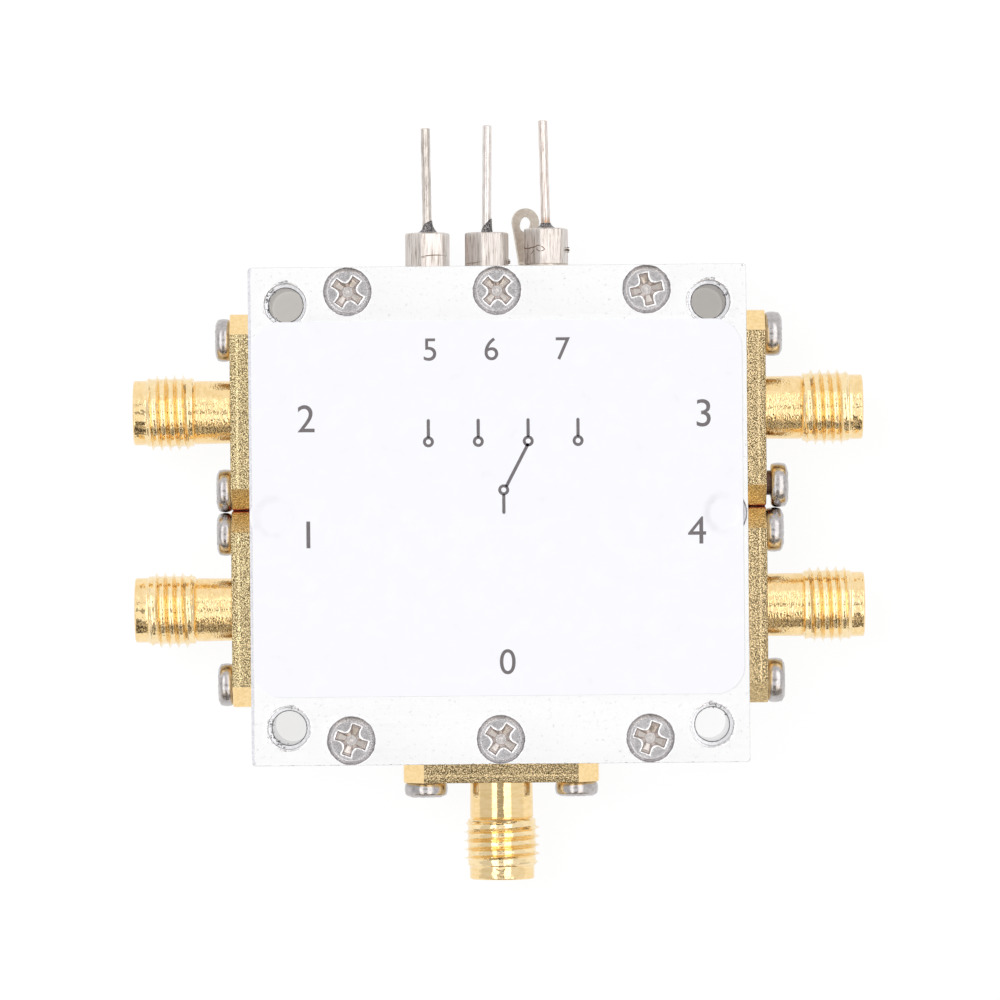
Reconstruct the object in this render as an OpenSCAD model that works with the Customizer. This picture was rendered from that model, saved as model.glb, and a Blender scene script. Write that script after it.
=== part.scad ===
// Coaxial switch module: a flat milled housing with a screwed lid, five flanged
// coax jacks on three of its walls, three feedthrough capacitors on the fourth.
// Millimetres. +Z is up through the lid, +Y points to the feedthrough wall, and
// the origin is the centre of the housing's bottom face.

/* [Housing] */
// Side of the square housing
body_w = 40; // [38:0.5:60]
// Height of the housing without its lid
body_h = 10; // [9:0.25:20]
// Thickness of the four walls
wall = 4; // [3.5:0.25:5]
// Radius of the housing's upright edges
edge_r = 0.3; // [0.1:0.05:1]
// Radius that the end mill leaves in the pocket's corners
mill_r = 0.8; // [0.5:0.1:1]
// Metal left between a mounting hole's centre and the pocket
post_reach = 3.4; // [2.5:0.1:4]

/* [Mounting holes] */
// Distance from a mounting hole's centre to the two nearest outer faces
mount_inset = 3; // [2.8:0.1:3.5]
// Diameter of a mounting hole in the housing
mount_hole_d = 2.75; // [2:0.05:3]
// Diameter of the wider mounting hole in the lid
lid_hole_d = 3.4; // [3.1:0.05:4]

/* [Lid] */
// Thickness of the lid
lid_t = 2; // [1.6:0.1:3]
// Distance between neighbouring lid screws along an edge
lid_screw_pitch = 12; // [10:0.5:12.5]
// Metal left between a countersunk head and the lid's edge
lid_screw_margin = 0.15; // [0.1:0.05:0.5]

/* [Label] */
// Bare lid left at each side of a centred label
label_side = 0.2; // [0.2:0.05:4]
// Bare lid left above and below a centred label
label_end = 4.95; // [4.9:0.05:9]
// Thickness of the label
label_t = 0.1; // [0.05:0.01:0.2]
// Corner radius of the label
label_r = 2.3; // [0.5:0.1:5]
// How far the label was stuck on to the right of centre
label_dx = 0.08; // [-0.1:0.01:0.1]
// How far the label was stuck on above centre
label_dy = 0.55; // [0:0.05:0.6]

/* [Countersunk lid screws] */
// Diameter of a countersunk head
csk_head_d = 3.7; // [3.2:0.05:3.75]
// Height of the straight rim round a countersunk head
csk_rim = 0.15; // [0.1:0.05:0.3]
// Length of a lid screw with its head
lid_screw_l = 4; // [3.5:0.25:4.25]
// Break on the edges of every screw head
head_break = 0.08; // [0.02:0.01:0.1]
// How deep a head lies under the lid's top
csk_sink = 0.1; // [0.05:0.05:0.3]

/* [Screw shanks] */
// Diameter of every screw's shank
screw_d = 2; // [1.6:0.05:2]
// Length of the point at a screw's tip
screw_point = 0.25; // [0.1:0.05:0.4]
// Radial room between a lid screw's shank and the lid
screw_room = 0.1; // [0.05:0.05:0.2]
// Radial room between a shank and its tapped hole
tap_gap = 0.02; // [0.01:0.01:0.03]
// Room under the tip of a screw in its blind hole
tip_gap = 0.2; // [0.1:0.05:0.3]

/* [Cross recess] */
// Width across the recess from tip to tip
recess_w = 2.6; // [2:0.1:2.8]
// Width of one arm of the recess
recess_arm = 0.6; // [0.4:0.05:0.8]
// Diameter of the round middle of the recess
recess_core_d = 1.5; // [1:0.1:1.8]
// Diameter of the recess at its floor
recess_floor_d = 1; // [0.8:0.1:1.4]
// Depth of the recess
recess_depth = 0.8; // [0.5:0.05:0.85]

/* [Pan head screws] */
// Diameter of a pan head
pan_head_d = 3.5; // [3:0.1:4]
// Height of a pan head
pan_head_h = 1.22; // [1:0.02:1.6]
// Height of a pan head's side under its crown
pan_side_h = 0.43; // [0.2:0.01:0.6]
// Diameter of the flat on top of a pan head
pan_flat_d = 2.2; // [1.8:0.1:2.6]
// Length of a flange screw under its head
flange_screw_l = 4; // [3.5:0.25:4]
// Length of a board screw under its head
board_screw_l = 3; // [2.5:0.25:3.5]
// How far one flange screw stands off its flange, not driven home
loose_lift = 0.4; // [0:0.05:0.6]

/* [Jack places] */
// Height of the jacks' and feedthroughs' axes above the bottom face
port_z = 5; // [4.9:0.1:5.5]
// Room between the flanges of two neighbouring jacks
flange_gap = 0.1; // [0.05:0.05:1]
// How far the side jacks sit towards the feedthrough wall
port_shift = 0.5; // [0:0.05:0.5]

/* [Jack flange] */
// Length of a flange
flange_l = 15.9; // [15:0.1:15.9]
// Width of a flange
flange_w = 5.7; // [5.4:0.1:6.2]
// Thickness of a flange
flange_t = 1.65; // [1.4:0.05:2]
// Length of the chamfer at a flange's corners
flange_chamfer = 1.7; // [0.5:0.1:2]
// Flange left between a screw's head and the flange's end
flange_head_margin = 0.1; // [0.05:0.05:0.3]
// Radial room between a screw and its hole in the flange
flange_screw_room = 0.3; // [0.1:0.05:0.35]

/* [Jack barrel] */
// Diameter of the plain neck where it leaves the flange
neck_d = 4.75; // [4.7:0.05:5.1]
// Diameter of the plain neck at the thread
neck_front_d = 5.15; // [4.9:0.05:5.4]
// Length of the plain neck
neck_l = 3; // [2:0.1:4]
// Diameter over the thread's crests
thread_d = 6.25; // [6.1:0.05:6.5]
// Depth of the thread
thread_depth = 0.38; // [0.25:0.01:0.45]
// Pitch of the thread, 36 turns to the inch
thread_pitch = 0.7056; // [0.6:0.0001:0.8]
// Number of thread turns
thread_turns = 5; // [3:1:8]
// Wall of the plain nose in front of the thread
nose_wall = 0.325; // [0.27:0.005:0.45]
// Length of the plain nose
nose_l = 1.35; // [0.8:0.05:2]
// Break on the nose's edges
nose_break = 0.12; // [0.05:0.01:0.2]
// Diameter of the socket that takes the plug's tube
mouth_d = 4.6; // [4.5:0.02:4.7]
// Depth of that socket
mouth_depth = 1.9; // [1.5:0.1:2.5]

/* [Jack insulator and contact] */
// Diameter of the white insulator
insulator_d = 4.1; // [3.9:0.02:4.2]
// Diameter of the contact
contact_d = 1.27; // [1.1:0.01:1.4]
// Diameter of the hole that takes the plug's pin
contact_bore_d = 0.94; // [0.85:0.01:0.98]
// Depth of that hole
contact_bore_depth = 2.6; // [2.2:0.1:4]
// Width of the four slots in the contact's sleeve
contact_slot_w = 0.16; // [0.1:0.02:0.3]
// Length of the slots
contact_slot_l = 1.8; // [1:0.1:2]
// Break on the contact's ends
contact_break = 0.1; // [0.05:0.01:0.12]
// Diameter of the barb that holds the contact
barb_d = 1.7; // [1.5:0.05:2]
// Length of the barb
barb_l = 0.7; // [0.4:0.1:1]
// How far the contact reaches in over the board
contact_reach = 2.2; // [1.5:0.1:3]
// Radial room between parts that are pressed together
press_gap = 0.02; // [0.01:0.01:0.03]

/* [Feedthrough capacitors] */
// Distance between neighbouring feedthroughs
feed_pitch = 4.81; // [4.7:0.05:5.2]
// How far the middle feedthrough sits to the left of centre
feed_shift = 0.8; // [0:0.05:1]
// Width across the flats of the hexagon
hex_af = 3.27; // [3.1:0.01:3.6]
// Height of the hexagon
hex_h = 2.9; // [2:0.1:4]
// Slope of the chamfer on the hexagon's corners, in degrees
hex_chamfer_angle = 30; // [15:1:45]
// Diameter of the threaded shank in the wall
shank_d = 2.5; // [2.3:0.05:2.6]
// Diameter of the bore through the feedthrough's body
feed_bore_d = 1.8; // [1.6:0.05:1.9]
// Diameter of a lead outside its feedthrough, with its tin
lead_d = 0.76; // [0.6:0.02:0.8]
// Thickness of the tin on a lead's outer end
tin_t = 0.03; // [0.01:0.01:0.05]
// How far a lead reaches in over the board
lead_reach = 2.4; // [1.5:0.1:3]
// Radial room between a lead and its ceramic tube
ceramic_bore_gap = 0.06; // [0.03:0.01:0.1]
// Depth of the sealing resin in each end of the bore
seal_depth = 0.6; // [0.3:0.05:1]
// Height that the resin climbs along the lead
seal_climb = 0.45; // [0.2:0.05:0.8]

/* [Ground lug] */
// Thickness of the lug's sheet
lug_t = 0.3; // [0.2:0.05:0.4]
// Outer diameter of the ring under the third hexagon
lug_ring_d = 4.6; // [4.2:0.1:4.6]
// Radial room between the lug's ring and the shank
lug_gap = 0.08; // [0.05:0.01:0.15]
// Distance from the ring's centre to the tail's underside
lug_drop = 3.8; // [3.4:0.1:3.9]
// Turn of the lug about its feedthrough, in degrees
lug_turn = 26.8; // [0:0.2:35]
// Inner radius of the lug's bend
lug_bend_r = 0.4; // [0.2:0.05:0.5]
// Distance from the wall to the tail's end
lug_l = 4.95; // [4:0.05:6]
// Width of the tail at the bend
lug_neck_w = 1.3; // [1:0.05:1.6]
// Outer diameter of the tail's eye
lug_eye_d = 2.4; // [2:0.05:2.6]
// Width of the eye's slot
lug_slot_w = 1.1; // [0.8:0.05:1.2]
// Distance between the centres of the slot's round ends
lug_slot_l = 0.9; // [0.5:0.05:1.2]

/* [Circuit board] */
// Thickness of the board
board_t = 1.6; // [0.8:0.1:2]
// Room between the board and the pocket's walls
board_gap = 0.3; // [0.2:0.05:0.5]
// Thickness of the copper on the board
copper_t = 0.035; // [0.02:0.005:0.05]
// Room between a contact and the copper under it
pin_gap = 0.03; // [0.01:0.01:0.06]
// Distance of the board screws from the side walls
board_screw_side = 5.5; // [5:0.1:6.5]
// Distance of the board screws from the front and back walls
board_screw_end = 3.6; // [3:0.1:4]
// Radial room between a board screw and the board
board_screw_gap = 0.15; // [0.1:0.05:0.25]
// Width of a signal trace
trace_w = 1.1; // [0.6:0.05:1.4]
// Radial room between a pin and its solder
solder_gap = 0.02; // [0.01:0.01:0.05]
// How much wider than its pin a solder joint is at its foot
solder_spread = 0.9; // [0.5:0.1:1.2]
// Room between a solder joint and both ends of its pin
solder_end = 0.25; // [0.1:0.05:0.4]
// Width of a control trace
control_w = 0.5; // [0.3:0.05:0.7]
// Side of the square switch chip
chip_w = 4; // [3:0.1:5]
// Height of the switch chip
chip_h = 0.9; // [0.6:0.05:1.2]
// Radius of the chip's upright edges
chip_edge_r = 0.15; // [0.05:0.05:0.3]
// Diameter of the round mark in the chip's corner
chip_mark_d = 0.4; // [0.2:0.05:0.6]
// Depth of that mark
chip_mark_depth = 0.05; // [0.02:0.01:0.1]

/* [Board parts] */
// Length of a signal trace from the wall to its knee
trace_run = 8; // [6:0.25:9]
// Room between the end of a contact and the middle of its blocking capacitor
cap_room = 1.3; // [1:0.1:2]
// Length of a blocking capacitor
cap_l = 1; // [0.8:0.1:1.6]
// Width and height of a blocking capacitor
cap_w = 0.5; // [0.4:0.05:0.8]
// Bare board between the two ends of trace under a blocking capacitor
cap_gap = 0.5; // [0.3:0.05:0.6]
// Distance of the series resistors from the feedthrough wall
resistor_from_wall = 6.7; // [5:0.1:7]
// Length of a series resistor
resistor_l = 1.6; // [1:0.1:2]
// Width of a series resistor
resistor_w = 0.8; // [0.5:0.05:1.2]
// Height of a series resistor
resistor_h = 0.45; // [0.3:0.05:0.6]
// Distance of the bypass capacitors from the feedthrough wall
bypass_from_wall = 9.4; // [9:0.1:10]
// Length of a bypass capacitor
bypass_l = 1.6; // [1:0.1:2]
// Width and height of a bypass capacitor
bypass_w = 0.8; // [0.5:0.05:1]

/* [Hidden] */

// Round surfaces get enough sides to look round, and cuts run this far past a face
$fn = 64;
over = 0.5;
arc_steps = 8;

// The pocket's floor is set so that the jacks' contacts lie just over the copper
copper_top = port_z - contact_d / 2 - pin_gap;
board_top = copper_top - copper_t;
floor_t = board_top - board_t;
pocket_half = body_w / 2 - wall;
label_w = body_w - 2 * label_side;
label_h = body_w - 2 * label_end;
lid_screw_inset = csk_head_d / 2 + lid_screw_margin;
mount_at = body_w / 2 - mount_inset;
post_edge = mount_at - post_reach;
top_z = body_h + lid_t;

// Three screws along the feedthrough edge and three opposite, one at each side
lid_screw_at = body_w / 2 - lid_screw_inset;
LID_SCREWS = [
    for (y = [lid_screw_at, -lid_screw_at]) for (i = [-1:1]) [i * lid_screw_pitch, y],
    [-lid_screw_at, 0],
    [lid_screw_at, 0]
];
// How far each lid screw was turned when it was tight
LID_SCREW_TURNS = [55, 48, 12, 70, 55, 69, 20, 35];

// A wall's angle turns -Y to its outward side; the second value is the place along it
port_pitch = flange_l + flange_gap;
flange_hole_pitch = flange_l - pan_head_d - 2 * flange_head_margin;
flange_hole_d = screw_d + 2 * flange_screw_room;
port_hi = port_shift + port_pitch / 2;
port_lo = port_shift - port_pitch / 2;
PORTS = [[-90, -port_lo], [-90, -port_hi], [90, port_hi], [90, port_lo], [0, 0]];
// The screw that isn't driven home is the lower one of jack 3
LOOSE_PORT = 2;
LOOSE_SIDE = -1;
// Each flange screw stopped at its own angle
FLANGE_SCREW_TURN = 37;
LOOSE_TURN = 20;
nose_d = mouth_d + 2 * nose_wall;
lead_core_d = lead_d - 2 * tin_t;
thread_z = flange_t + neck_l;
nose_z = thread_z + thread_pitch * thread_turns;
port_tip = nose_z + nose_l;
reference_z = port_tip - mouth_depth;

// Each feedthrough's lead length past the wall, its lean and its hexagon's turn
FEED_LEADS = [11.4, 11.75, 12.2];
FEED_LEANS = [-0.6, 0.8, -1.2];
HEX_TURNS = [14.6, 18.3, 16];
LUG_FEED = 2;
feed_wall_angle = 180;
hex_corner_r = hex_af / 2 / cos(30);

// The signal traces' knees and the parts that sit across their gaps
knee_x = pocket_half - trace_run;
cap_at = pocket_half - contact_reach - cap_room;
cap_size = [cap_l, cap_w, cap_w];
resistor_y = pocket_half - resistor_from_wall;
resistor_size = [resistor_w, resistor_l, resistor_h];
bypass_y = pocket_half - bypass_from_wall;
bypass_size = [bypass_l, bypass_w, bypass_w];
trace_inset = 0.5;

function unit(v) = v / norm(v);

// The arc that rounds the corner p1 between p0 and p2
function corner_arc(p0, p1, p2, r) =
    let (a = unit(p0 - p1), b = unit(p2 - p1), half = acos(a * b) / 2)
    let (centre = p1 + unit(a + b) * r / sin(half))
    let (from = p1 + a * r / tan(half) - centre, to = p1 + b * r / tan(half) - centre)
    let (start = atan2(from.y, from.x), turn = atan2(to.y, to.x) - start)
    let (sweep = turn > 180 ? turn - 360 : turn < -180 ? turn + 360 : turn)
    [for (k = [0:arc_steps]) centre + r * [cos(start + sweep * k / arc_steps),
                                           sin(start + sweep * k / arc_steps)]];

// A closed outline with each of its corners rounded
function rounded(points, r) =
    let (n = len(points))
    [for (i = [0:n - 1]) each corner_arc(points[(i + n - 1) % n], points[i],
                                         points[(i + 1) % n], r)];

function rectangle(w, h) =
    [[w / 2, -h / 2], [w / 2, h / 2], [-w / 2, h / 2], [-w / 2, -h / 2]];

// The pocket's outline, a square whose corners are taken up by the mounting posts
function pocket(inset) =
    let (far = pocket_half - inset, near = post_edge - inset)
    [[far, -near], [far, near], [near, near], [near, far], [-near, far], [-near, near],
     [-far, near], [-far, -near], [-near, -near], [-near, -far], [near, -far], [near, -near]];

// Places things on a wall: +Z runs outward, X along the wall and Y up
module on_wall(angle, along) {
    rotate([0, 0, angle]) translate([along, -body_w / 2, port_z]) rotate([90, 0, 0]) children();
}

module on_port(i) {
    on_wall(PORTS[i][0], PORTS[i][1]) children();
}

module on_feed(i) {
    on_wall(feed_wall_angle, feed_shift - (i - 1) * feed_pitch) children();
}

module at_mount_holes() {
    for (x = [-1, 1]) for (y = [-1, 1]) translate([x * mount_at, y * mount_at, 0]) children();
}

module at_board_screws() {
    for (x = [-1, 1]) for (y = [-1, 1])
        translate([x * (pocket_half - board_screw_side), y * (pocket_half - board_screw_end),
                   board_top]) children();
}

// A tool's cross-shaped recess, cut down from z = 0
module cross_recess() {
    intersection() {
        translate([0, 0, -recess_depth]) linear_extrude(recess_depth + over) {
            square([recess_w, recess_arm], center = true);
            square([recess_arm, recess_w], center = true);
            circle(d = recess_core_d);
        }
        translate([0, 0, -recess_depth])
            cylinder(d1 = recess_floor_d, d2 = recess_w, h = recess_depth);
    }
}

// A countersunk screw with the top of its head at z = 0
module countersunk_screw(length) {
    head_r = csk_head_d / 2;
    cone_z = -csk_rim - (head_r - screw_d / 2);
    difference() {
        rotate_extrude() polygon([
            [0, 0], [head_r - head_break, 0], [head_r, -head_break], [head_r, -csk_rim],
            [screw_d / 2, cone_z], [screw_d / 2, screw_point - length],
            [screw_d / 2 - screw_point, -length], [0, -length]
        ]);
        cross_recess();
    }
}

// A pan head screw with the underside of its head at z = 0
module pan_screw(length) {
    r = pan_head_d / 2;
    flat_r = pan_flat_d / 2;
    crown = [for (a = [0:15:90]) [flat_r + (r - flat_r) * cos(a),
                                  pan_side_h + (pan_head_h - pan_side_h) * sin(a)]];
    difference() {
        rotate_extrude() polygon(concat(
            [[0, -length], [screw_d / 2 - screw_point, -length],
             [screw_d / 2, screw_point - length], [screw_d / 2, 0],
             [r - head_break, 0], [r, head_break]],
            crown,
            [[0, pan_head_h]]
        ));
        translate([0, 0, pan_head_h]) cross_recess();
    }
}

module housing_body() {
    color("gainsboro") difference() {
        linear_extrude(body_h) polygon(rounded(rectangle(body_w, body_w), edge_r));
        translate([0, 0, floor_t]) linear_extrude(body_h) polygon(rounded(pocket(0), mill_r));
        at_mount_holes() translate([0, 0, -over])
            cylinder(d = mount_hole_d, h = body_h + 2 * over);
        for (p = LID_SCREWS)
            translate([p.x, p.y, top_z - csk_sink - lid_screw_l - tip_gap])
                cylinder(r = screw_d / 2 + tap_gap, h = body_h);
        for (i = [0:len(PORTS) - 1]) on_port(i) {
            translate([0, 0, -wall - over])
                cylinder(r = insulator_d / 2 + press_gap, h = wall + 2 * over);
            for (side = [-1, 1])
                translate([side * flange_hole_pitch / 2, 0, flange_t - flange_screw_l - tip_gap])
                    cylinder(r = screw_d / 2 + tap_gap, h = flange_screw_l + over);
        }
        for (i = [0:2]) on_feed(i) translate([0, 0, -wall - over])
            cylinder(r = shank_d / 2 + tap_gap, h = wall + 2 * over);
        at_board_screws() translate([0, 0, -board_screw_l - tip_gap])
            cylinder(r = screw_d / 2 + tap_gap, h = board_screw_l + over);
    }
}

module lid() {
    seat_r = csk_head_d / 2 + press_gap;
    hole_r = screw_d / 2 + screw_room;
    seat_z = lid_t - csk_sink - csk_rim;
    color("whitesmoke") translate([0, 0, body_h]) difference() {
        linear_extrude(lid_t) polygon(rounded(rectangle(body_w, body_w), edge_r));
        at_mount_holes() translate([0, 0, -over])
            cylinder(d = lid_hole_d, h = lid_t + 2 * over);
        for (p = LID_SCREWS) translate([p.x, p.y, 0]) {
            translate([0, 0, -over]) cylinder(r = hole_r, h = lid_t + over);
            translate([0, 0, seat_z]) cylinder(r = seat_r, h = lid_t);
            translate([0, 0, seat_z - (seat_r - hole_r)])
                cylinder(r1 = hole_r, r2 = seat_r, h = seat_r - hole_r);
        }
    }
}

module label() {
    color("white") translate([label_dx, label_dy, top_z]) linear_extrude(label_t)
        polygon(rounded(rectangle(label_w, label_h), label_r));
}

module lid_screws() {
    color("silver") for (i = [0:len(LID_SCREWS) - 1])
        translate([LID_SCREWS[i].x, LID_SCREWS[i].y, top_z - csk_sink])
            rotate([0, 0, LID_SCREW_TURNS[i]]) countersunk_screw(lid_screw_l);
}

module flange_screws() {
    color("silver") for (i = [0:len(PORTS) - 1]) for (side = [-1, 1])
        on_port(i) translate([side * flange_hole_pitch / 2, 0,
            flange_t + (i == LOOSE_PORT && side == LOOSE_SIDE ? loose_lift : 0)])
            rotate([0, 0, FLANGE_SCREW_TURN * i + LOOSE_TURN * side])
                pan_screw(flange_screw_l);
}

// One turned and plated piece: flange, tapered neck, thread and plain nose
module port_shell(i) {
    crest_r = thread_d / 2;
    root_r = crest_r - thread_depth;
    bore_r = insulator_d / 2 + press_gap;
    mouth_r = mouth_d / 2;
    nose_r = nose_d / 2;
    ridges = [for (k = [0:thread_turns - 1]) let (z = thread_z + k * thread_pitch) each [
        [root_r, z + 0.1 * thread_pitch], [crest_r, z + 0.4 * thread_pitch],
        [crest_r, z + 0.6 * thread_pitch], [root_r, z + 0.9 * thread_pitch]
    ]];
    color("goldenrod") on_port(i) {
        rotate_extrude() polygon(concat(
            [[bore_r, 0], [neck_d / 2, 0], [neck_d / 2, flange_t], [neck_front_d / 2, thread_z]],
            ridges,
            [[nose_r, nose_z], [nose_r, port_tip - nose_break], [nose_r - nose_break, port_tip],
             [mouth_r + nose_break, port_tip], [mouth_r, port_tip - nose_break],
             [mouth_r, reference_z], [bore_r, reference_z]]
        ));
        difference() {
            linear_extrude(flange_t) polygon([
                for (s = [1, -1]) each [
                    [s * flange_l / 2, s * (flange_chamfer - flange_w / 2)],
                    [s * flange_l / 2, s * (flange_w / 2 - flange_chamfer)],
                    [s * (flange_l / 2 - flange_chamfer), s * flange_w / 2],
                    [-s * (flange_l / 2 - flange_chamfer), s * flange_w / 2]
                ]
            ]);
            translate([0, 0, -over]) cylinder(d = neck_d, h = flange_t + 2 * over);
            for (side = [-1, 1]) translate([side * flange_hole_pitch / 2, 0, -over])
                cylinder(d = flange_hole_d, h = flange_t + 2 * over);
        }
    }
}

// White insulator from the inner wall to the reference plane, grooved for the barb
module port_insulator(i) {
    bore_r = contact_d / 2 + press_gap;
    groove_r = barb_d / 2 + press_gap;
    color("white") on_port(i) rotate_extrude() polygon([
        [bore_r, -wall], [insulator_d / 2, -wall], [insulator_d / 2, reference_z],
        [bore_r, reference_z], [bore_r, flange_t + barb_l + press_gap],
        [groove_r, flange_t + barb_l + press_gap], [groove_r, flange_t - press_gap],
        [bore_r, flange_t - press_gap]
    ]);
}

// Contact with a slotted sleeve for the plug's pin, a barb and a plain inner end
module port_contact(i) {
    r = contact_d / 2;
    inner_z = -wall - contact_reach;
    color("gold") on_port(i) difference() {
        rotate_extrude() polygon([
            [0, inner_z], [r - contact_break, inner_z], [r, inner_z + contact_break],
            [r, flange_t],
            [barb_d / 2, flange_t], [barb_d / 2, flange_t + barb_l / 2],
            [r, flange_t + barb_l], [r, reference_z - contact_break],
            [r - contact_break, reference_z], [0, reference_z]
        ]);
        translate([0, 0, reference_z - contact_bore_depth])
            cylinder(d = contact_bore_d, h = contact_bore_depth + over);
        for (a = [45, 135]) rotate([0, 0, a])
            translate([-contact_d, -contact_slot_w / 2, reference_z - contact_slot_l])
                cube([2 * contact_d, contact_slot_w, contact_slot_l + over]);
    }
}

function feed_base(i) = i == LUG_FEED ? lug_t : 0;

// Hexagon with chamfered corners, and the shank that screws through the wall
module feedthrough_body(i) {
    base = feed_base(i);
    top = base + hex_h;
    face_r = hex_af / 2;
    chamfer_h = (hex_corner_r - face_r) * tan(hex_chamfer_angle);
    color("tan") on_feed(i) difference() {
        union() {
            intersection() {
                translate([0, 0, base]) rotate([0, 0, HEX_TURNS[i]])
                    cylinder(r = hex_corner_r, h = hex_h, $fn = 6);
                rotate_extrude() polygon([
                    [0, base - over], [hex_corner_r + over, base - over],
                    [hex_corner_r + over, top - chamfer_h - over * tan(hex_chamfer_angle)],
                    [face_r, top], [0, top]
                ]);
            }
            translate([0, 0, -wall]) cylinder(d = shank_d, h = wall + base + over);
        }
        translate([0, 0, -wall - over]) cylinder(d = feed_bore_d, h = wall + top + 2 * over);
    }
}

// Wire lead: bare core through the capacitor, tinned and slightly bent outside
module feedthrough_lead(i) {
    top = feed_base(i) + hex_h;
    color("silver") on_feed(i) {
        translate([0, 0, -wall - lead_reach])
            cylinder(d = lead_core_d, h = wall + lead_reach + top);
        translate([0, 0, top]) {
            sphere(d = lead_d);
            rotate([0, -FEED_LEANS[i], 0])
                cylinder(d = lead_d, h = (FEED_LEADS[i] - top) / cos(FEED_LEANS[i]));
        }
    }
}

// Tube capacitor between the two resin seals
module feedthrough_ceramic(i) {
    top = feed_base(i) + hex_h;
    bottom_z = -wall + seal_depth;
    color("peru") on_feed(i) translate([0, 0, bottom_z]) difference() {
        cylinder(r = feed_bore_d / 2 - press_gap, h = top - seal_depth - bottom_z);
        translate([0, 0, -over])
            cylinder(r = lead_core_d / 2 + ceramic_bore_gap, h = wall + top + 2 * over);
    }
}

// Black resin that closes both ends of the bore and climbs the lead outside
module feedthrough_seals(i) {
    top = feed_base(i) + hex_h;
    plug_r = feed_bore_d / 2 - press_gap;
    core_r = lead_core_d / 2 + press_gap;
    lead_r = lead_d / 2 + press_gap;
    bent_r = lead_r + (seal_climb + lead_d) * tan(abs(FEED_LEANS[i]));
    meniscus = [for (a = [0:15:90]) [
        plug_r - (plug_r - bent_r - 0.05) * sin(a),
        top + seal_climb * (1 - cos(a))
    ]];
    color("dimgray") on_feed(i) {
        rotate_extrude() polygon(concat(
            [[core_r, top - seal_depth], [plug_r, top - seal_depth]],
            meniscus,
            [[bent_r, top + seal_climb], [bent_r, top - lead_d / 2 - press_gap],
             [core_r, top - lead_d / 2 - press_gap]]
        ));
        translate([0, 0, -wall]) difference() {
            cylinder(r = plug_r, h = seal_depth);
            translate([0, 0, -over]) cylinder(r = core_r, h = seal_depth + 2 * over);
        }
    }
}

// Sheet lug: ring under the third hexagon, bent tail with a slotted eye
module ground_lug() {
    bend_at = lug_t + lug_bend_r;
    eye_r = lug_eye_d / 2;
    eye_z = lug_l - eye_r;
    slot_turn = 20;
    color("wheat") on_feed(LUG_FEED) rotate([0, 0, lug_turn]) {
        linear_extrude(lug_t) difference() {
            union() {
                circle(d = lug_ring_d);
                translate([-lug_neck_w / 2, bend_at - lug_drop])
                    square([lug_neck_w, lug_drop - bend_at]);
            }
            circle(r = shank_d / 2 + lug_gap);
        }
        translate([-lug_neck_w / 2, bend_at - lug_drop, bend_at])
            rotate([0, 90, 0]) rotate([0, 0, -90]) rotate_extrude(angle = 90)
                translate([lug_bend_r, 0]) square([lug_t, lug_neck_w]);
        translate([0, lug_t - lug_drop, 0]) rotate([90, 0, 0]) linear_extrude(lug_t)
            difference() {
                union() {
                    polygon([
                        [-lug_neck_w / 2, bend_at], [lug_neck_w / 2, bend_at],
                        [eye_r, eye_z], [-eye_r, eye_z]
                    ]);
                    translate([0, eye_z]) circle(r = eye_r);
                }
                translate([0, eye_z]) rotate([0, 0, slot_turn]) {
                    circle(d = lug_slot_w);
                    translate([0, -lug_slot_l]) circle(d = lug_slot_w);
                    translate([-lug_slot_w / 2, -lug_slot_l]) square([lug_slot_w, lug_slot_l]);
                }
            }
    }
}

module circuit_board() {
    color("darkgreen") difference() {
        translate([0, 0, floor_t]) linear_extrude(board_t)
            polygon(rounded(pocket(board_gap), mill_r));
        at_board_screws() translate([0, 0, -board_t - over])
            cylinder(r = screw_d / 2 + board_screw_gap, h = board_t + 2 * over);
    }
}

// A flat strip with round ends from p to q
module strip(p, q, w) {
    along = q - p;
    for (end = [p, q]) translate(end) circle(d = w);
    translate(p) rotate(atan2(along.y, along.x)) translate([0, -w / 2])
        square([norm(along), w]);
}

// Etched copper: five signal traces broken at their capacitors, three control traces
module copper_traces() {
    start = pocket_half - board_gap - trace_inset - trace_w / 2;
    chip_edge = chip_w / 2 + trace_w / 2;
    color("darkgoldenrod") translate([0, 0, board_top]) linear_extrude(copper_t) {
        difference() {
            union() {
                for (side = [-1, 1]) for (y = [port_lo, port_hi]) {
                    chip_y = port_shift + (y > port_shift ? 1 : -1) * (chip_w / 2 - trace_w / 2);
                    strip([side * start, y], [side * knee_x, y], trace_w);
                    strip([side * knee_x, y], [side * chip_edge, chip_y], trace_w);
                }
                strip([0, -start], [0, port_shift - chip_edge], trace_w);
            }
            for (side = [-1, 1]) for (y = [port_lo, port_hi])
                translate([side * cap_at, y]) square([cap_gap, 2 * trace_w], center = true);
            translate([0, -cap_at]) square([2 * trace_w, cap_gap], center = true);
        }
        for (i = [0:2]) {
            x = (i - 1) * feed_pitch - feed_shift;
            strip([x, start], [x, resistor_y + resistor_size.y / 2], control_w);
            strip([x, resistor_y - resistor_size.y / 2], [x, bypass_y], control_w);
            strip([x, bypass_y], [(i - 1) * chip_w / 4, port_shift + chip_edge], control_w);
        }
    }
}

module board_screws() {
    color("silver") at_board_screws() pan_screw(board_screw_l);
}

module switch_chip() {
    color("dimgray") translate([0, port_shift, copper_top]) difference() {
        linear_extrude(chip_h) polygon(rounded(rectangle(chip_w, chip_w), chip_edge_r));
        translate([chip_mark_d - chip_w / 2, chip_w / 2 - chip_mark_d, chip_h - chip_mark_depth])
            cylinder(d = chip_mark_d, h = over);
    }
}

module chip_part(size) {
    translate([-size.x / 2, -size.y / 2, 0]) cube(size);
}

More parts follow.
